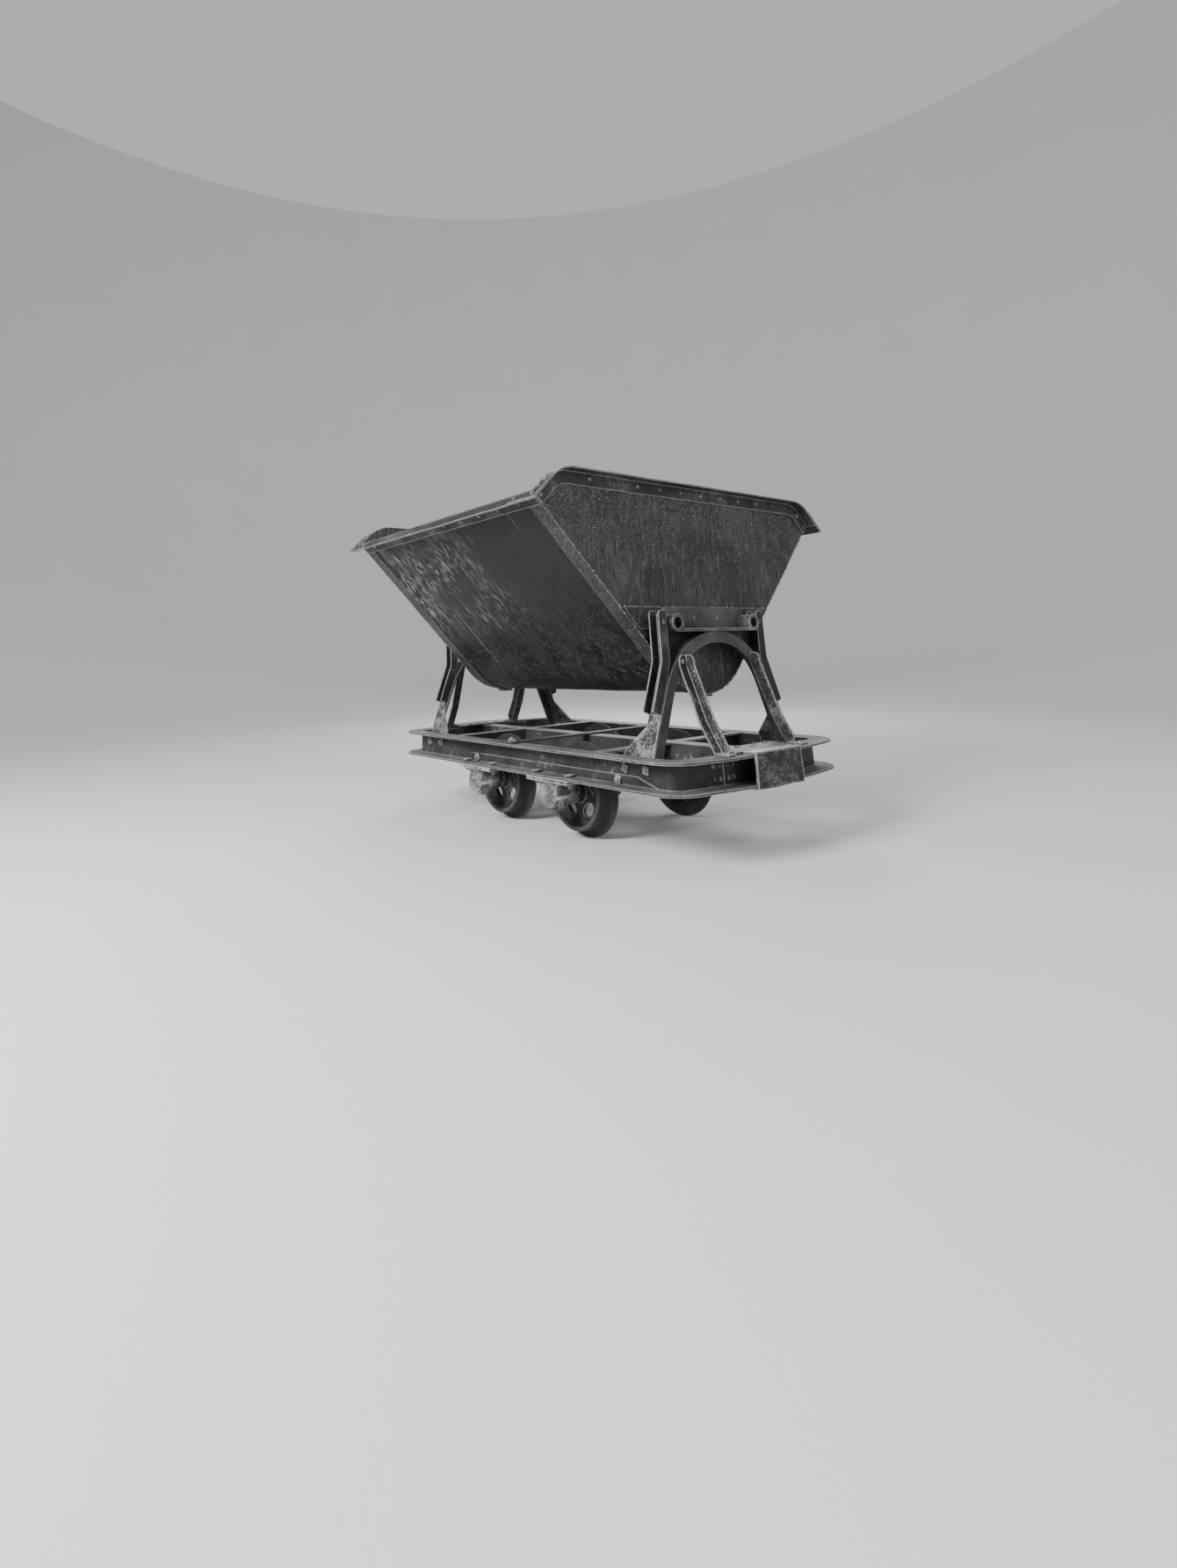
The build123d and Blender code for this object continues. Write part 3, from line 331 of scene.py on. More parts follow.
def skip_sheet():
    f = Finish("skip_sheet_steel")
    place, parts = slope_place(f)
    cloud = f.noise(2.4, 4, 0.55, place)
    mottle = f.noise(34, 6, 0.7, place)
    speck = f.noise(150, 3, 0.6)
    colour = f.mix(f.between(cloud, 0.3, 0.7), grey(0.016), grey(0.030, 0.01))
    # painted ripple light on the upper rear: short wavy streaks, a painted highlight on their crests,
    # painted shade between
    streak = f.noise(1, 5, 0.55, f.stretch((46, 9, 1), (0, 0, 0.45), place), 2.2)
    # the painted ripple light lies only high on the rear half, in patches
    rear = f.between(parts.outputs["X"], 0.30, -0.25)
    busy = f.math("MULTIPLY", rear, f.between(parts.outputs["Z"], 0.76, 0.96))
    busy = f.math("MULTIPLY", busy, f.between(f.noise(3.1, 3, 0.5, place), 0.36, 0.56))
    # painted shade in the troughs between the streaks
    trough_shade = f.math("MULTIPLY", f.between(streak, 0.48, 0.40), f.math("MULTIPLY", busy, 0.85))
    colour = f.mix(trough_shade, colour, grey(0.006))
    # painted highlight on the streak crests
    crest_highlight = f.math("MULTIPLY", f.between(streak, 0.52, 0.60), busy)
    colour = f.mix(crest_highlight, colour, grey(0.28))
    # low down: dark blotches and a fine light crust
    low = f.between(parts.outputs["Z"], 1.00, 0.68)
    blotch = f.noise(1, 5, 0.65, f.stretch((10, 7, 1), (0, 0, 0.3), place), 0.5)
    dark = f.math("MULTIPLY", f.between(blotch, 0.48, 0.60), f.math("MULTIPLY", low, 0.8))
    colour = f.mix(dark, colour, grey(0.005, 0.05))
    rust = f.math("MULTIPLY", f.between(mottle, 0.50, 0.60),
                  f.math("ADD", f.math("MULTIPLY", low, 0.6), 0.08))
    colour = f.mix(rust, colour, f.mix(f.between(speck, 0.4, 0.6), grey(0.010, 0.05), grey(0.10, 0.04)))
    # scratches down the slope
    brushed = f.noise(1, 3, 0.6, f.stretch((150, 3, 1), (0, 0, 0.04), place))
    colour = f.mix(f.between(brushed, 0.58, 0.8, 0, 0.35), colour, grey(0.075))
    hair = f.noise(1, 1, 0.4, f.stretch((60, 0.9, 1), (0, 0, -0.03), place))
    scratch = f.math("MULTIPLY", f.between(hair, 0.735, 0.75), f.between(mottle, 0.35, 0.5, 0.3, 1))
    colour = f.mix(f.math("MULTIPLY", scratch, 0.8), colour, grey(0.22))
    colour = f.mix(f.math("MULTIPLY", f.edges(0.004), 0.5), colour, grey(0.2))
    dull = f.math("ADD", f.math("MULTIPLY", mottle, 0.4), f.math("MULTIPLY", rust, 0.6))
    rough = f.between(dull, 0.15, 0.6, 0.45, 0.7)
    relief = f.math("SUBTRACT", f.math("MULTIPLY", rust, f.math("MULTIPLY", speck, 1.4)), scratch)
    fine = f.bump(relief, 0.0005)
    return f.finish(colour, rough, f.between(rust, 0, 1, 0.3, 0.1), f.bump(streak, 0.005, 0.8, fine), 0.12)


def end_sheet():
    f = Finish("end_plate_steel")
    cloud = f.noise(3.0, 5, 0.62)
    high = f.between(f.node("ShaderNodeSeparateXYZ", {0: f.place}).outputs["Z"], 0.95, 1.25)
    upright = f.noise(1, 4, 0.65, f.stretch((75, 75, 15)))
    speck = f.noise(170, 4, 0.7)
    colour = f.mix(f.between(cloud, 0.36, 0.64), grey(0.026), grey(0.054, 0.01))
    colour = f.mix(f.between(upright, 0.53, 0.62, 0, 0.7), colour, grey(0.10, 0.02))
    dark = f.between(f.noise(1, 3, 0.6, f.stretch((110, 110, 22))), 0.54, 0.62, 0, 0.8)
    colour = f.mix(dark, colour, grey(0.015, 0.03))
    crusted = f.math("MULTIPLY", f.between(speck, 0.58, 0.63),
                     f.between(f.math("ADD", high, cloud), 0.4, 1.4, 0.2, 1))
    colour = f.mix(crusted, colour, grey(0.30, 0.02))
    colour = f.mix(f.math("MULTIPLY", f.edges(0.005), 0.8), colour, grey(0.30))
    rough = f.between(upright, 0.3, 0.7, 0.42, 0.66)
    fine = f.bump(f.math("ADD", upright, f.math("MULTIPLY", speck, 0.5)), 0.0005)
    return f.finish(colour, rough, 0.3, fine, 0.25)


FINISHES["sheet"] = skip_sheet()
FINISHES["plate"] = end_sheet()
FINISHES["weld"] = weathered("weld_metal", 0.08, 0.30, 0.60, 0.6, 60, 0.002, 0.8, 0.5)
print("skip finishes made")

# %% [markdown]
# ### Floor
# A plain pale floor that bends up into a wall all round, as in a studio, so no horizon cuts the
# picture from any side and nothing competes with the cart.

# %% Floor
FLAT, BEND, TURNS = 6.0, 5.0, 72
floor_finish = Finish("pale_floor")
floor_tone = floor_finish.mix(floor_finish.noise(1.5, 3), grey(0.70), grey(0.74))
floor_finish.finish(floor_tone, 0.8, 0.0, floor_finish.bump(floor_finish.noise(60, 4), 0.0005))
section = [(FLAT / 3, 0), (FLAT * 2 / 3, 0), (FLAT, 0)]
section += [(FLAT + BEND * sin(pi / 2 * i / 12), BEND - BEND * cos(pi / 2 * i / 12)) for i in range(1, 13)]
section += [(FLAT + BEND, 2 * BEND)]
points = [(0, 0, 0)] + [(r * cos(2 * pi * t / TURNS), r * sin(2 * pi * t / TURNS), z)
                        for r, z in section for t in range(TURNS)]
faces = [(0, 1 + t, 1 + (t + 1) % TURNS) for t in range(TURNS)]
for ring in range(len(section) - 1):
    for t in range(TURNS):
        a, b = 1 + ring * TURNS + t, 1 + ring * TURNS + (t + 1) % TURNS
        faces.append((a, a + TURNS, b + TURNS, b))
floor_mesh = bpy.data.meshes.new("floor")
floor_mesh.from_pydata(points, [], faces)
floor_mesh.shade_smooth()
floor_mesh.materials.append(floor_finish.material)
floor = bpy.data.objects.new("floor", floor_mesh)
bpy.context.collection.objects.link(floor)
print("floor", 2 * FLAT, "m wide, with", len(faces), "faces")

# %% [markdown]
# ## From drawing to worked steel
# A drawing's edge is perfectly sharp and its plate perfectly flat. A rolled channel isn't: its edges
# are rounded, and years of knocks leave them wavy. Each piece is copied from its node, its loose
# triangles are merged into faces, its sharp edges are bevelled, and where it is long or wide it is
# sliced into cells, so that a slow smooth noise can push it about by a millimetre. The push is the same
# for both faces of a plate, because it depends only on the place, so no plate gets thinner. At the end
# a pushed piece is clipped to its old box.

# %% The helper that works a piece
made_pieces = []
NOISE_SEED = 8
FLAT_ANGLE, SHARP_ANGLE = radians(0.5), radians(35)
noise.seed_set(NOISE_SEED)        # without a seed the vector noise differs from one run to the next


def settle(name, mesh, finish, body, nodes=()):
    """One finished piece: object at the origin, material, body, and the nodes it stands for hidden."""
    mesh.materials.clear()
    mesh.materials.append(FINISHES[finish])
    piece = bpy.data.objects.new(name, mesh)
    bpy.context.collection.objects.link(piece)
    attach(piece, body)
    if nodes:
        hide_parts(*nodes)
    made_pieces.append(piece)
    return piece


def plain_mesh(obj, name):
    """What the object's modifiers make, as a mesh of its own. The object is removed."""
    bpy.context.view_layer.update()
    graph = bpy.context.evaluated_depsgraph_get()
    mesh = bpy.data.meshes.new_from_object(obj.evaluated_get(graph), depsgraph=graph)
    mesh.name = name
    bpy.data.objects.remove(obj)
    return mesh


def weighted(mesh, angle=40):
    """Smooth shading with flat faces kept flat."""
    mesh.shade_smooth()
    mesh.set_sharp_from_angle(angle=radians(angle))
    holder = bpy.data.objects.new("holder", mesh)
    bpy.context.collection.objects.link(holder)
    modifier = holder.modifiers.new("normals", "WEIGHTED_NORMAL")
    modifier.keep_sharp = True
    return plain_mesh(holder, mesh.name)


def merged(node):
    """A copy of a node's mesh with its loose triangles joined."""
    work = bmesh.new()
    work.from_mesh(frame["nodes"][node].data)
    bmesh.ops.remove_doubles(work, verts=work.verts, dist=2e-5)
    return work


def slice_up(work, low, high, cell):
    """Cuts the faces along a grid of planes, cell apart on each axis, and 0 leaves an axis whole."""
    for axis in range(3):
        if not cell[axis]:
            continue
        count = int((high[axis] - low[axis]) / cell[axis])
        for index in range(1, count):
            point = [0, 0, 0]
            point[axis] = low[axis] + (high[axis] - low[axis]) * index / count
            normal = [0, 0, 0]
            normal[axis] = 1
            bmesh.ops.bisect_plane(work, geom=work.verts[:] + work.edges[:] + work.faces[:],
                                   plane_co=point, plane_no=normal, dist=1e-5)


def work_piece(node, finish, rounding=0.0012, cell=None, push=0.0, wave=0.2):
    """A node's mesh with rounded edges and, where it has cells, a slow unevenness."""
    low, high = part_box(node)
    work = merged(node)
    if rounding:
        bmesh.ops.dissolve_limit(work, angle_limit=FLAT_ANGLE, verts=work.verts[:], edges=work.edges[:])
        sharp = [e for e in work.edges if len(e.link_faces) == 2 and e.calc_face_angle(0) > SHARP_ANGLE]
        bmesh.ops.bevel(work, geom=sharp, offset=rounding, segments=2, profile=0.6, affect="EDGES",
                        clamp_overlap=True)
        bmesh.ops.remove_doubles(work, verts=work.verts[:], dist=1e-5)
    if cell:
        slice_up(work, low, high, cell)
    for vertex in work.verts if push else ():
        vertex.co += noise.noise_vector(vertex.co / wave) * push
        for axis in range(3):
            vertex.co[axis] = min(max(vertex.co[axis], low[axis]), high[axis])
    mesh = bpy.data.meshes.new(node + "_worked")
    work.to_mesh(mesh)
    work.free()
    cad = frame["nodes"][node]
    return settle(node + "_worked", weighted(mesh), finish, cad["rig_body"], [node])


dict.fromkeys(("bars", "frame", "stand", "brace", "horn", "arch"), "frame_paint")
dict.fromkeys(("rim", "plate", "sheet", "weld"), "skip_paint")
dict.fromkeys(("buffer", "worn"), "worn_steel")
dict.fromkeys(("bolt", "bare"), "bare_steel")
print("helper ready")

# %% [markdown]
# ### Underframe
# The real sills and bows are rolled channels, bent at the corners. They are long, so they get cells of
# a few centimetres and a slow wave. The short bars need only rounded edges, and the buffer plates, which
# meet other carts, get small cells and the deepest dents.

# %% Underframe
for node in ("left_sill", "right_sill", "front_bow", "rear_bow"):
    work_piece(node, "frame", 0.0018, (0.03, 0.05, 0), 0.0012, 0.13)
for node in ("centre_drawbar", "front_cross_member", "rear_cross_member", "sill_stiffeners", "bow_splices"):
    work_piece(node, "frame", 0.0012)
work_piece("middle_tie_bar", "bars", 0.0012)
for end in ("front", "rear"):
    work_piece(f"{end}_nose_covers", "worn", 0.0015)
    work_piece(f"{end}_buffer_plate", "buffer", 0.002, (0, 0.012, 0.012), 0.0035, 0.07)
print("underframe pieces:", len(made_pieces))

# %% [markdown]
# ### Stands
# The arches, horns, gussets and braces are bars and plates cut and bent in a smithy. Their wear is at
# the edges: the horns shine where the skip's eyes rub, the gussets have lost most of their paint.

# %% Stands
for node in ("front_left_horn", "front_right_horn", "rear_left_horn", "rear_right_horn"):
    work_piece(node, "horn", 0.0012)
for node in ("front_arch", "rear_arch"):
    work_piece(node, "arch", 0.0012)
work_piece("stand_gussets", "stand", 0.0014)
for node in ("front_stand_braces", "rear_stand_braces"):
    work_piece(node, "brace", 0.0014)
print("with stands:", len(made_pieces))

# %% [markdown]
# ### Running gear
# Wheels and axle boxes are castings, with rounded corners already in the engineering model, so they
# keep its shape and get only smooth shading and their own rough iron.

# %% Running gear
for end in ("front", "rear"):
    for side in ("left", "right"):
        work_piece(f"{end}_{side}_wheel", "wheel", 0)
        work_piece(f"{end}_{side}_axle_box", "cast", 0)
    work_piece(f"{end}_axle", "bare", 0)
for node, finish in (("axle_box_caps", "cast"), ("axle_bushes", "brass"), ("axle_box_bolts", "bolt")):
    work_piece(node, finish, 0)
print("with running gear:", len(made_pieces))

# %% [markdown]
# ### Skip: end plates, rims and tipping gear
# The end plates are wide thin sheets, so they are sliced finely and pushed by a slow noise: this gives
# the faint hollows that catch the light. The rims are bars that have been hit by loading chutes.

# %% Skip pieces
for end in ("front", "rear"):
    work_piece(f"{end}_end_plate", "plate", 0.001, (0, 0.02, 0.02), 0.0014, 0.16)
    work_piece(f"{end}_rim", "rim", 0.0014, (0, 0.03, 0.03), 0.0014, 0.12)
    work_piece(f"{end}_doubler", "plate", 0.0012)
    work_piece(f"{end}_rocker_bracket", "arch", 0.0015)
    work_piece(f"{end}_rocker_strip", "worn", 0.0015)
for side in ("left", "right"):
    work_piece(f"{side}_rim", "rim", 0.0014, (0.03, 0, 0), 0.0018, 0.12)
work_piece("rim_corner_plates", "rim", 0.001)
work_piece("packing_plates", "worn", 0.0008)
work_piece("skip_base_bars", "frame", 0.001)
print("with skip pieces:", len(made_pieces))

# %% [markdown]
# ### Skip: the folded shell
# The shell is the piece the eye rests on, so it is made afresh as a fine grid of points, from one rim
# down round the bottom and up to the other. Each point is pushed in or out by three noises: wide
# hollows, ripples that run down the slope where loads slid, and a small hammered unevenness. The push
# dies away at the welded ends and under the rims, so the shell still meets its neighbours. The inner
# face gets the same push, then the edges are closed.

# %% Folded shell
RAIL_TOP = 0.028        # the wheels' flanges reach this far below the rails' tops
ROOT_Y, ROUND_R, BOTTOM_Z = 0.817, 0.282, 0.504 + RAIL_TOP
BAND, SHEET = 0.004, 0.005
ROUND_Z = BOTTOM_Z + ROUND_R
ROOT_Z = ROUND_Z + (ROOT_Y * sin(SLOPE) - ROUND_R) / cos(SLOPE)
STRAIGHT = hypot(ROOT_Y - ROUND_R * sin(SLOPE), ROOT_Z - ROUND_Z + ROUND_R * cos(SLOPE))
ARC = 2 * SLOPE * ROUND_R
TOTAL = 2 * STRAIGHT + ARC
SHELL_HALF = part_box("skip_shell")[1].x


def shell_point(run):
    """Place and outward direction, in (y, z), a distance along the outer line from the left root."""
    out = Vector((sin(SLOPE), -cos(SLOPE)))
    down = Vector((-cos(SLOPE), -sin(SLOPE)))
    mirrored = run > TOTAL / 2
    run = min(run, TOTAL - run)
    if run <= STRAIGHT:
        point = Vector((ROOT_Y, ROOT_Z)) + down * run
    else:
        turn = SLOPE - (run - STRAIGHT) / ROUND_R
        out = Vector((sin(turn), -cos(turn)))
        point = Vector((0, ROUND_Z)) + out * ROUND_R
    flip = -1 if mirrored else 1
    return Vector((point.x * flip, point.y)), Vector((out.x * flip, out.y))


def fade(distance, start, full):
    """Nought up to start, one from full on, smooth between."""
    share = min(max((distance - start) / (full - start), 0), 1)
    return share * share * (3 - 2 * share)


def dents(x, run):
    """How far the sheet is pushed outwards here, in metres."""
    spot = Vector((x, run, 2.7))
    wide = noise.noise(spot / 0.30) * 0.0030 + noise.noise(spot / 0.14) * 0.0011
    slid = Vector((x * cos(0.4) + run * sin(0.4), (run * cos(0.4) - x * sin(0.4)) * 0.42, 8.1))
    busy = fade(noise.noise(spot / 0.45 + Vector((3, 5, 0))), -0.25, 0.35)
    ripple = noise.noise(slid / 0.040) * 0.0010 * busy
    hammered = noise.noise(spot / 0.022) * 0.00018
    kept = fade(SHELL_HALF - abs(x), 0.062, 0.12) * fade(min(run, TOTAL - run), 0.05, 0.12)
    return (wide + ripple + hammered) * kept


def folded_shell(columns, rows):
    """Both faces of the sheet as grids of points, joined along their four edges."""
    mesh = bpy.data.meshes.new("skip_shell_worked")
    points, faces = [], []
    for inset in (BAND, BAND + SHEET):
        for row in range(rows + 1):
            run = TOTAL * row / rows
            place, out = shell_point(run)
            for column in range(columns + 1):
                x = -SHELL_HALF + 2 * SHELL_HALF * column / columns
                level = dents(x, run) - inset
                points.append((x, place.x + out.x * level, place.y + out.y * level))
    wide = columns + 1
    layer = wide * (rows + 1)
    for row in range(rows):
        for column in range(columns):
            a = row * wide + column
            faces.append((a, a + wide, a + wide + 1, a + 1))
            faces.append((a + layer, a + layer + 1, a + layer + wide + 1, a + layer + wide))
    rim = [row * wide for row in range(rows + 1)]
    for first, second in zip(rim, rim[1:]):
        faces.append((first, first + layer, second + layer, second))
        faces.append((first + columns, second + columns,
                      second + columns + layer, first + columns + layer))
    for column in range(columns):
        top, foot = column, rows * wide + column
        faces.append((top, top + 1, top + 1 + layer, top + layer))
        faces.append((foot, foot + layer, foot + 1 + layer, foot + 1))
    mesh.from_pydata(points, [], faces)
    work = bmesh.new()
    work.from_mesh(mesh)
    bmesh.ops.recalc_face_normals(work, faces=work.faces[:])
    work.to_mesh(mesh)
    work.free()
    return mesh


shell_mesh = folded_shell(96, 160)
settle("skip_shell_worked", weighted(shell_mesh, 50), "sheet", "skip", ["skip_shell"])
print("shell faces:", len(shell_mesh.polygons), "root height", round(ROOT_Z, 4))

# %% [markdown]
# ## Rivets and nuts
# The cart is held by well over a hundred heads, and they are what Geometry Nodes are for. The frame
# already has a small solid for each one. A short search reads its place, the way it stands, its radius
# and its height, and leaves one point per head. A node tree then sets a domed rivet or a square nut
# with its bolt end on every point, turned and sized a little by chance.

# %% Read the heads from the frame
def islands(node):
    """The separate solids of a node, each as a list of faces (normal, area, points)."""
    work = merged(node)
    seen, groups = set(), []
    for face in work.faces:
        if face.index in seen:
            continue
        stack, group = [face], []
        seen.add(face.index)
        while stack:
            one = stack.pop()
            group.append((one.normal.copy(), one.calc_area(), [v.co.copy() for v in one.verts]))
            for edge in one.edges:
                for other in edge.link_faces:
                    if other.index not in seen:
                        seen.add(other.index)
                        stack.append(other)
        groups.append(group)
    work.free()
    return groups


def head_of(group):
    """Where a head stands, which way it points, its radius and its height."""
    sides = {}
    for normal, area, points in group:
        key = tuple(round(value, 2) for value in normal)
        sides.setdefault(key, [0, Vector(), []])
        sides[key][0] += area
        sides[key][1] += normal * area
        sides[key][2] += points
    area, summed, points = max(sides.values(), key=lambda side: side[0])
    axis = -summed.normalized()
    low = Vector(min(p[i] for p in points) for i in range(3))
    high = Vector(max(p[i] for p in points) for i in range(3))
    centre = (low + high) / 2
    every = [p for face in group for p in face[2]]
    tall = max((p - centre).dot(axis) for p in every)
    wide = max(((p - centre) - axis * (p - centre).dot(axis)).length for p in points)
    corners = len({tuple(round(v, 4) for v in p) for p in points})
    return centre, axis, wide, tall, corners <= 8


def heads_of(nodes):
    """Rivets and nuts of some nodes, as (centre, axis, radius, height), in two lists."""
    rivets, nuts = [], []
    for node in nodes:
        for group in islands(node):
            centre, axis, wide, tall, square = head_of(group)
            (nuts if square else rivets).append((centre, axis, wide, tall))
    return rivets, nuts


frame_heads = heads_of(["frame_rivets", "stand_bolts", "sill_bolts"])
skip_heads = heads_of(["rim_rivets", "corner_rivets", "bracket_rivets"])
print("rivets and nuts on the frame:", [len(heads) for heads in frame_heads])
print("rivets and nuts on the skip:", [len(heads) for heads in skip_heads])

# %% [markdown]
# ### The stamping tree
# The tree takes points, a radius, a height and a seed. It makes one head, sets it on every point along
# the point's own axis, makes the copies real and gives them their finish. The domed head is a sphere
# pressed flat, so the half inside the plate also fills any gap under it.

# %% The stamping tree
class Tree:
    """A Geometry Nodes tree with named inputs."""

    def __init__(self, name, inputs):
        self.group = bpy.data.node_groups.new(name, "GeometryNodeTree")
        self.sockets = {}
        for title, kind in [("Geometry", "NodeSocketGeometry")] + inputs:
            made = self.group.interface.new_socket(title, in_out="INPUT", socket_type=kind)
            self.sockets[title] = made.identifier
        self.group.interface.new_socket("Geometry", in_out="OUTPUT", socket_type="NodeSocketGeometry")
        self.given = self.group.nodes.new("NodeGroupInput").outputs
        self.result = self.group.nodes.new("NodeGroupOutput").inputs[0]

    def node(self, kind, sockets=None, **settings):
        made = self.group.nodes.new(kind)
        for key, value in settings.items():
            setattr(made, key, value)
        for key, value in (sockets or {}).items():
            if isinstance(value, bpy.types.NodeSocket):
                self.group.links.new(value, made.inputs[key])
            else:
                made.inputs[key].default_value = value
        return made

    def math(self, operation, a, b=0.0):
        return self.node("ShaderNodeMath", {0: a, 1: b}, operation=operation).outputs[0]

    def vector(self, x, y, z):
        return self.node("ShaderNodeCombineXYZ", {0: x, 1: y, 2: z}).outputs[0]

    def join(self, *parts):
        made = self.group.nodes.new("GeometryNodeJoinGeometry")
        for part in reversed(parts):
            self.group.links.new(part, made.inputs[0])
        return made.outputs[0]

    def close(self, geometry, finish):
        real = self.node("GeometryNodeRealizeInstances", {0: geometry}).outputs[0]
        dressed = self.node("GeometryNodeSetMaterial", {"Geometry": real, "Material": FINISHES[finish]})
        self.group.links.new(dressed.outputs[0], self.result)
        return self


def run_tree(tree, base, values, name):
    """Puts the tree on a mesh, sets its inputs, and returns the result as a plain mesh."""
    holder = bpy.data.objects.new(name, base)
    bpy.context.collection.objects.link(holder)
    modifier = holder.modifiers.new("tree", "NODES")
    modifier.node_group = tree.group
    for title, value in values.items():
        modifier[tree.sockets[title]] = value
    return plain_mesh(holder, name)


def stamping(name, head, finish):
    """A tree that sets one head on every point, along the point's axis."""
    tree = Tree(name, [("Radius", "NodeSocketFloat"), ("Height", "NodeSocketFloat"),
                       ("Seed", "NodeSocketInt")])
    shape = head(tree, tree.given["Radius"], tree.given["Height"])
    axis = tree.node("GeometryNodeInputNamedAttribute", {"Name": "axis"}, data_type="FLOAT_VECTOR")
    stand = tree.node("FunctionNodeAlignRotationToVector", {"Vector": axis.outputs[0]}, axis="Z").outputs[0]
    chance = tree.node("FunctionNodeRandomValue", {2: -0.5, 3: 0.5, "Seed": tree.given["Seed"]}).outputs[1]
    spin = tree.node("FunctionNodeAxisAngleToRotation", {"Axis": (0, 0, 1), "Angle": chance}).outputs[0]
    turned = tree.node("FunctionNodeRotateRotation", {0: stand, 1: spin},
                       rotation_space="LOCAL").outputs[0]
    size = tree.node("FunctionNodeRandomValue", {2: 0.93, 3: 1.0, "Seed": tree.given["Seed"]}).outputs[1]
    placed = tree.node("GeometryNodeInstanceOnPoints", {
        "Points": tree.given["Geometry"], "Instance": shape, "Rotation": turned, "Scale": size}).outputs[0]
    return tree.close(placed, finish)


def domed(tree, radius, height):
    """A rivet's head, a ball pressed flat."""
    ball = tree.node("GeometryNodeMeshUVSphere", {"Segments": 16, "Rings": 8, "Radius": 1.0}).outputs[0]
    return tree.node("GeometryNodeTransform", {
        "Geometry": ball, "Scale": tree.vector(radius, radius, height)}).outputs[0]


def square_nut(tree, radius, height):
    """A square nut, its corners on the radius, and the rounded end of its bolt."""
    block = tree.node("GeometryNodeMeshCylinder", {
        "Vertices": 4, "Radius": radius, "Depth": height}).outputs[0]
    block = tree.node("GeometryNodeTransform", {
        "Geometry": block, "Translation": tree.vector(0.0, 0.0, tree.math("MULTIPLY", height, 0.5)),
        "Rotation": (0, 0, pi / 4)}).outputs[0]
    end = tree.node("GeometryNodeMeshCylinder", {
        "Vertices": 12, "Radius": tree.math("MULTIPLY", radius, 0.42),
        "Depth": tree.math("MULTIPLY", height, 1.8)}).outputs[0]
    raised = tree.vector(0.0, 0.0, tree.math("MULTIPLY", height, 0.92))
    end = tree.node("GeometryNodeTransform", {"Geometry": end, "Translation": raised}).outputs[0]
    return tree.join(block, end)


RIVET_TREE = stamping("rivet_heads", domed, "bolt")
NUT_TREE = stamping("square_nuts", square_nut, "bolt")
print("trees:", [tree.group.name for tree in (RIVET_TREE, NUT_TREE)])

# %% [markdown]
# ### Set the heads
# All heads of one kind are stamped in one go for each body, so the whole cart needs three pieces. Nuts
# are sharp after stamping, so they get a small bevel, as a worn nut has.

# %% Set the heads
def head_points(heads):
    """A mesh of bare points, each with the axis its head stands on."""
    mesh = bpy.data.meshes.new("points")
    mesh.from_pydata([tuple(head[0]) for head in heads], [], [])
    axes = mesh.attributes.new("axis", "FLOAT_VECTOR", "POINT")
    axes.data.foreach_set("vector", [value for head in heads for value in head[1]])
    return mesh


def round_off(mesh, amount):
    """A small bevel on the stamped copies."""
    work = bmesh.new()
    work.from_mesh(mesh)
    sharp = [e for e in work.edges if len(e.link_faces) == 2 and e.calc_face_angle(0) > radians(40)]
    bmesh.ops.bevel(work, geom=sharp, offset=amount, segments=2, profile=0.6, affect="EDGES",
                    clamp_overlap=True)
    work.to_mesh(mesh)
    work.free()
    return mesh


def set_heads(name, heads, tree, seed, body, nodes, bevel=0.0):
    """Stamps one list of heads at their mean size and settles them as one piece."""
    radius = sum(head[2] for head in heads) / len(heads)
    height = sum(head[3] for head in heads) / len(heads)
    mesh = run_tree(tree, head_points(heads), {"Radius": radius, "Height": height, "Seed": seed}, name)
    if bevel:
        round_off(mesh, bevel)
    piece = settle(name, weighted(mesh, 40), "bolt", body, nodes)
    print(name, "has", len(heads), "heads, radius", round(radius, 4), "and", len(mesh.polygons), "faces")
    return piece


set_heads("frame_rivet_heads", frame_heads[0], RIVET_TREE, 11, "frame", ["frame_rivets", "stand_bolts"])
set_heads("frame_nut_heads", frame_heads[1], NUT_TREE, 12, "frame", ["sill_bolts"], 0.0012)
set_heads("skip_rivet_heads", skip_heads[0], RIVET_TREE, 13, "skip",
          ["rim_rivets", "corner_rivets", "bracket_rivets"])

# %% [markdown]
# ## Weld beads
# Each end plate is welded to the folded band all the way round the V, and each doubler along its top.
# A bead is a row of small overlapping drops. The tree runs along a line, sets a drop every few
# millimetres, gives each its own size, and leaves some out, as a hand-laid and half-ground weld does.

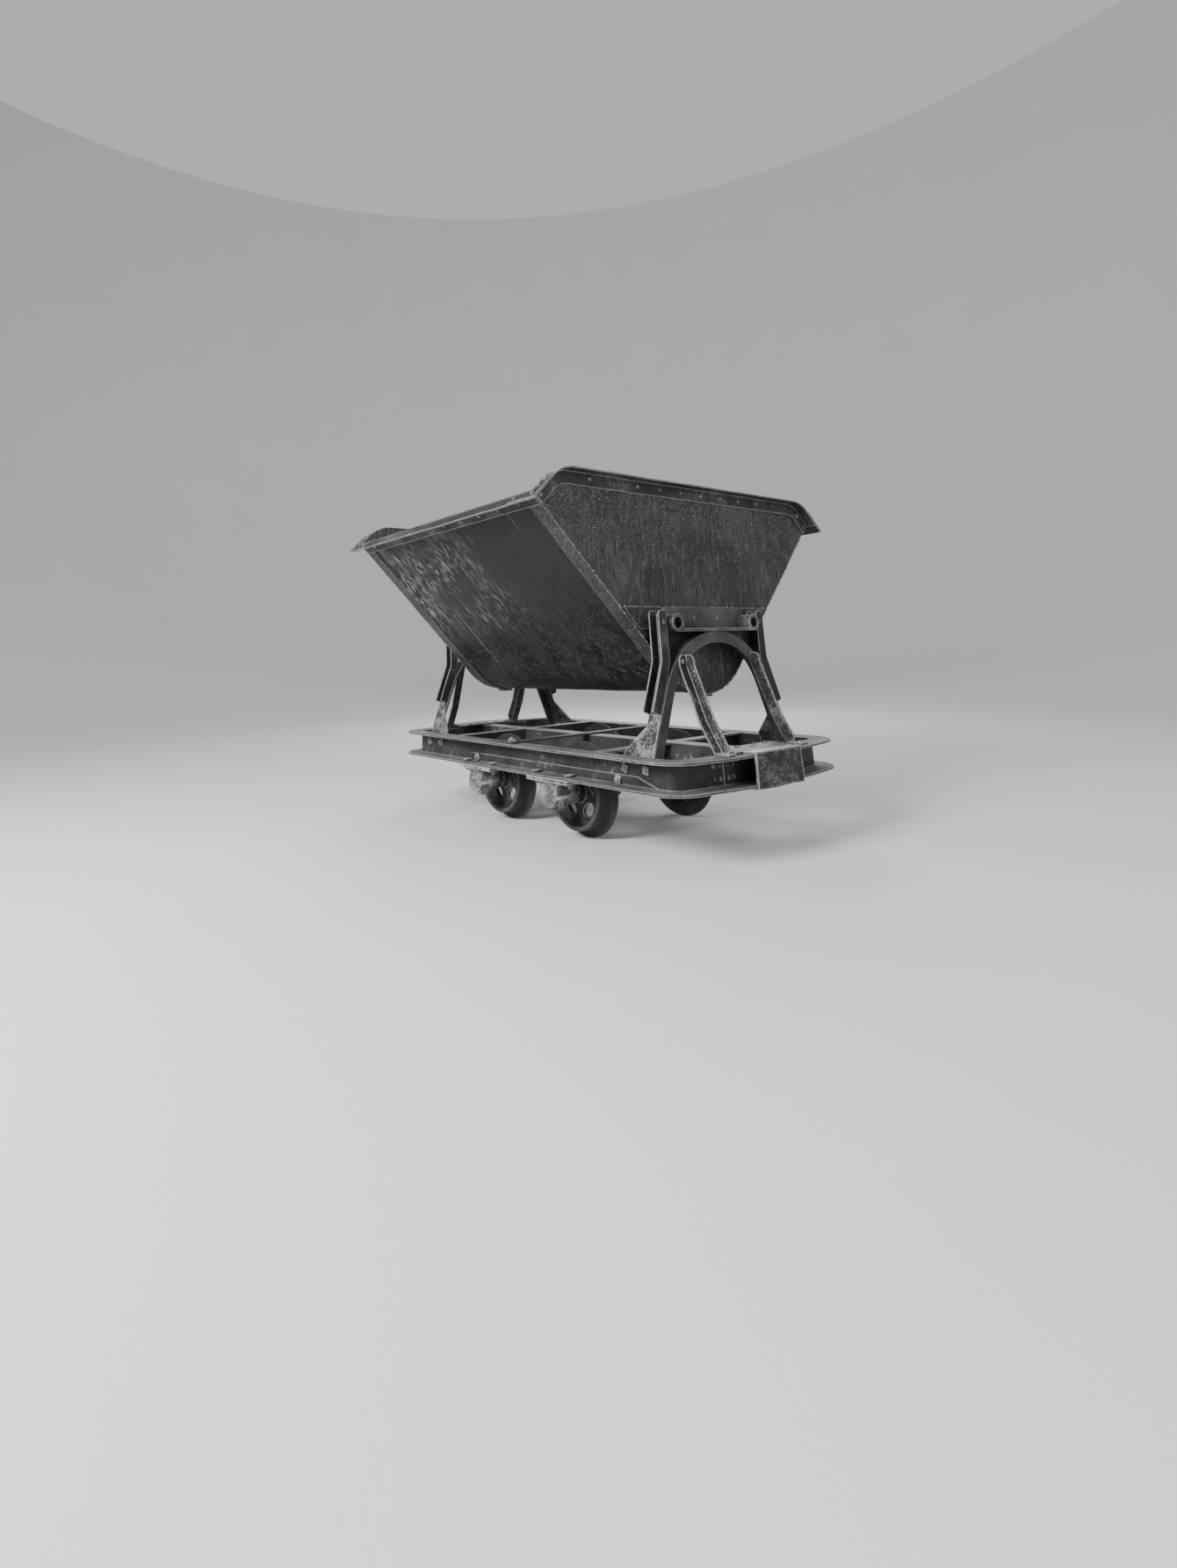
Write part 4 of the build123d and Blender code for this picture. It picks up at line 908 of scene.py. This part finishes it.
# %% Weld beads
def weld_tree():
    """A tree that lays drops along the lines it is given."""
    tree = Tree("weld_beads", [("Pitch", "NodeSocketFloat"), ("Drop", "NodeSocketFloat"),
                               ("Kept", "NodeSocketFloat"), ("Seed", "NodeSocketInt")])
    curve = tree.node("GeometryNodeMeshToCurve", {"Mesh": tree.given["Geometry"]}).outputs[0]
    rows = tree.node("GeometryNodeResampleCurve", {"Curve": curve, "Length": tree.given["Pitch"]},
                     mode="LENGTH").outputs[0]
    drop = tree.node("GeometryNodeMeshIcoSphere", {
        "Radius": tree.given["Drop"], "Subdivisions": 2}).outputs[0]
    kept = tree.node("FunctionNodeRandomValue", {
        "Probability": tree.given["Kept"], "Seed": tree.given["Seed"]}, data_type="BOOLEAN").outputs[3]
    size = tree.node("FunctionNodeRandomValue", {
        0: (0.55, 0.55, 0.55), 1: (1.25, 1.0, 1.0), "Seed": tree.given["Seed"]},
        data_type="FLOAT_VECTOR").outputs[0]
    beads = tree.node("GeometryNodeInstanceOnPoints", {
        "Points": rows, "Instance": drop, "Selection": kept, "Scale": size}).outputs[0]
    return tree.close(beads, "weld")


def polyline(lines):
    """Several open lines of points as one wire mesh."""
    mesh = bpy.data.meshes.new("lines")
    points = [tuple(p) for line in lines for p in line]
    edges, start = [], 0
    for line in lines:
        edges += [(start + i, start + i + 1) for i in range(len(line) - 1)]
        start += len(line)
    mesh.from_pydata(points, edges, [])
    return mesh


WELD_TREE = weld_tree()
END_FACE = SHELL_HALF + SHEET
DOUBLER_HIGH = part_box("front_doubler")[1]
STEPS, SKIPPED = 200, 6           # steps along the whole seam, and those left out at each root
PULLED_IN, LIFTED, SUNK = 0.9985, 0.0012, 0.0005
TOP_INSET, TOP_STEPS = 0.012, 20
seam, top_welds = [], []
for end in (1, -1):
    line = [shell_point(TOTAL * i / STEPS)[0] for i in range(SKIPPED, STEPS - SKIPPED + 1)]
    seam.append([(end * (END_FACE - SUNK), p.x * PULLED_IN, p.y + LIFTED) for p in line])
    half = DOUBLER_HIGH.y - TOP_INSET
    top_welds.append([(end * (END_FACE + 0.003), half * i / TOP_STEPS, DOUBLER_HIGH.z + 0.001)
                      for i in range(-TOP_STEPS, TOP_STEPS + 1)])
seam_mesh = run_tree(WELD_TREE, polyline(seam),
                     {"Pitch": 0.012, "Drop": 0.0048, "Kept": 0.6, "Seed": 5}, "seam_welds")
top_mesh = run_tree(WELD_TREE, polyline(top_welds),
                    {"Pitch": 0.009, "Drop": 0.0048, "Kept": 0.8, "Seed": 6}, "doubler_welds")
settle("seam_welds", weighted(seam_mesh), "weld", "skip")
settle("doubler_welds", weighted(top_mesh), "weld", "skip")
print("weld faces:", len(seam_mesh.polygons) + len(top_mesh.polygons))

# %% [markdown]
# ## Close
# The last line counts the pieces and their triangles.

# %% Sizes and finish
count = sum(len(polygon.vertices) - 2 for piece in made_pieces for polygon in piece.data.polygons)
print("pieces:", len(made_pieces), "triangles:", count)
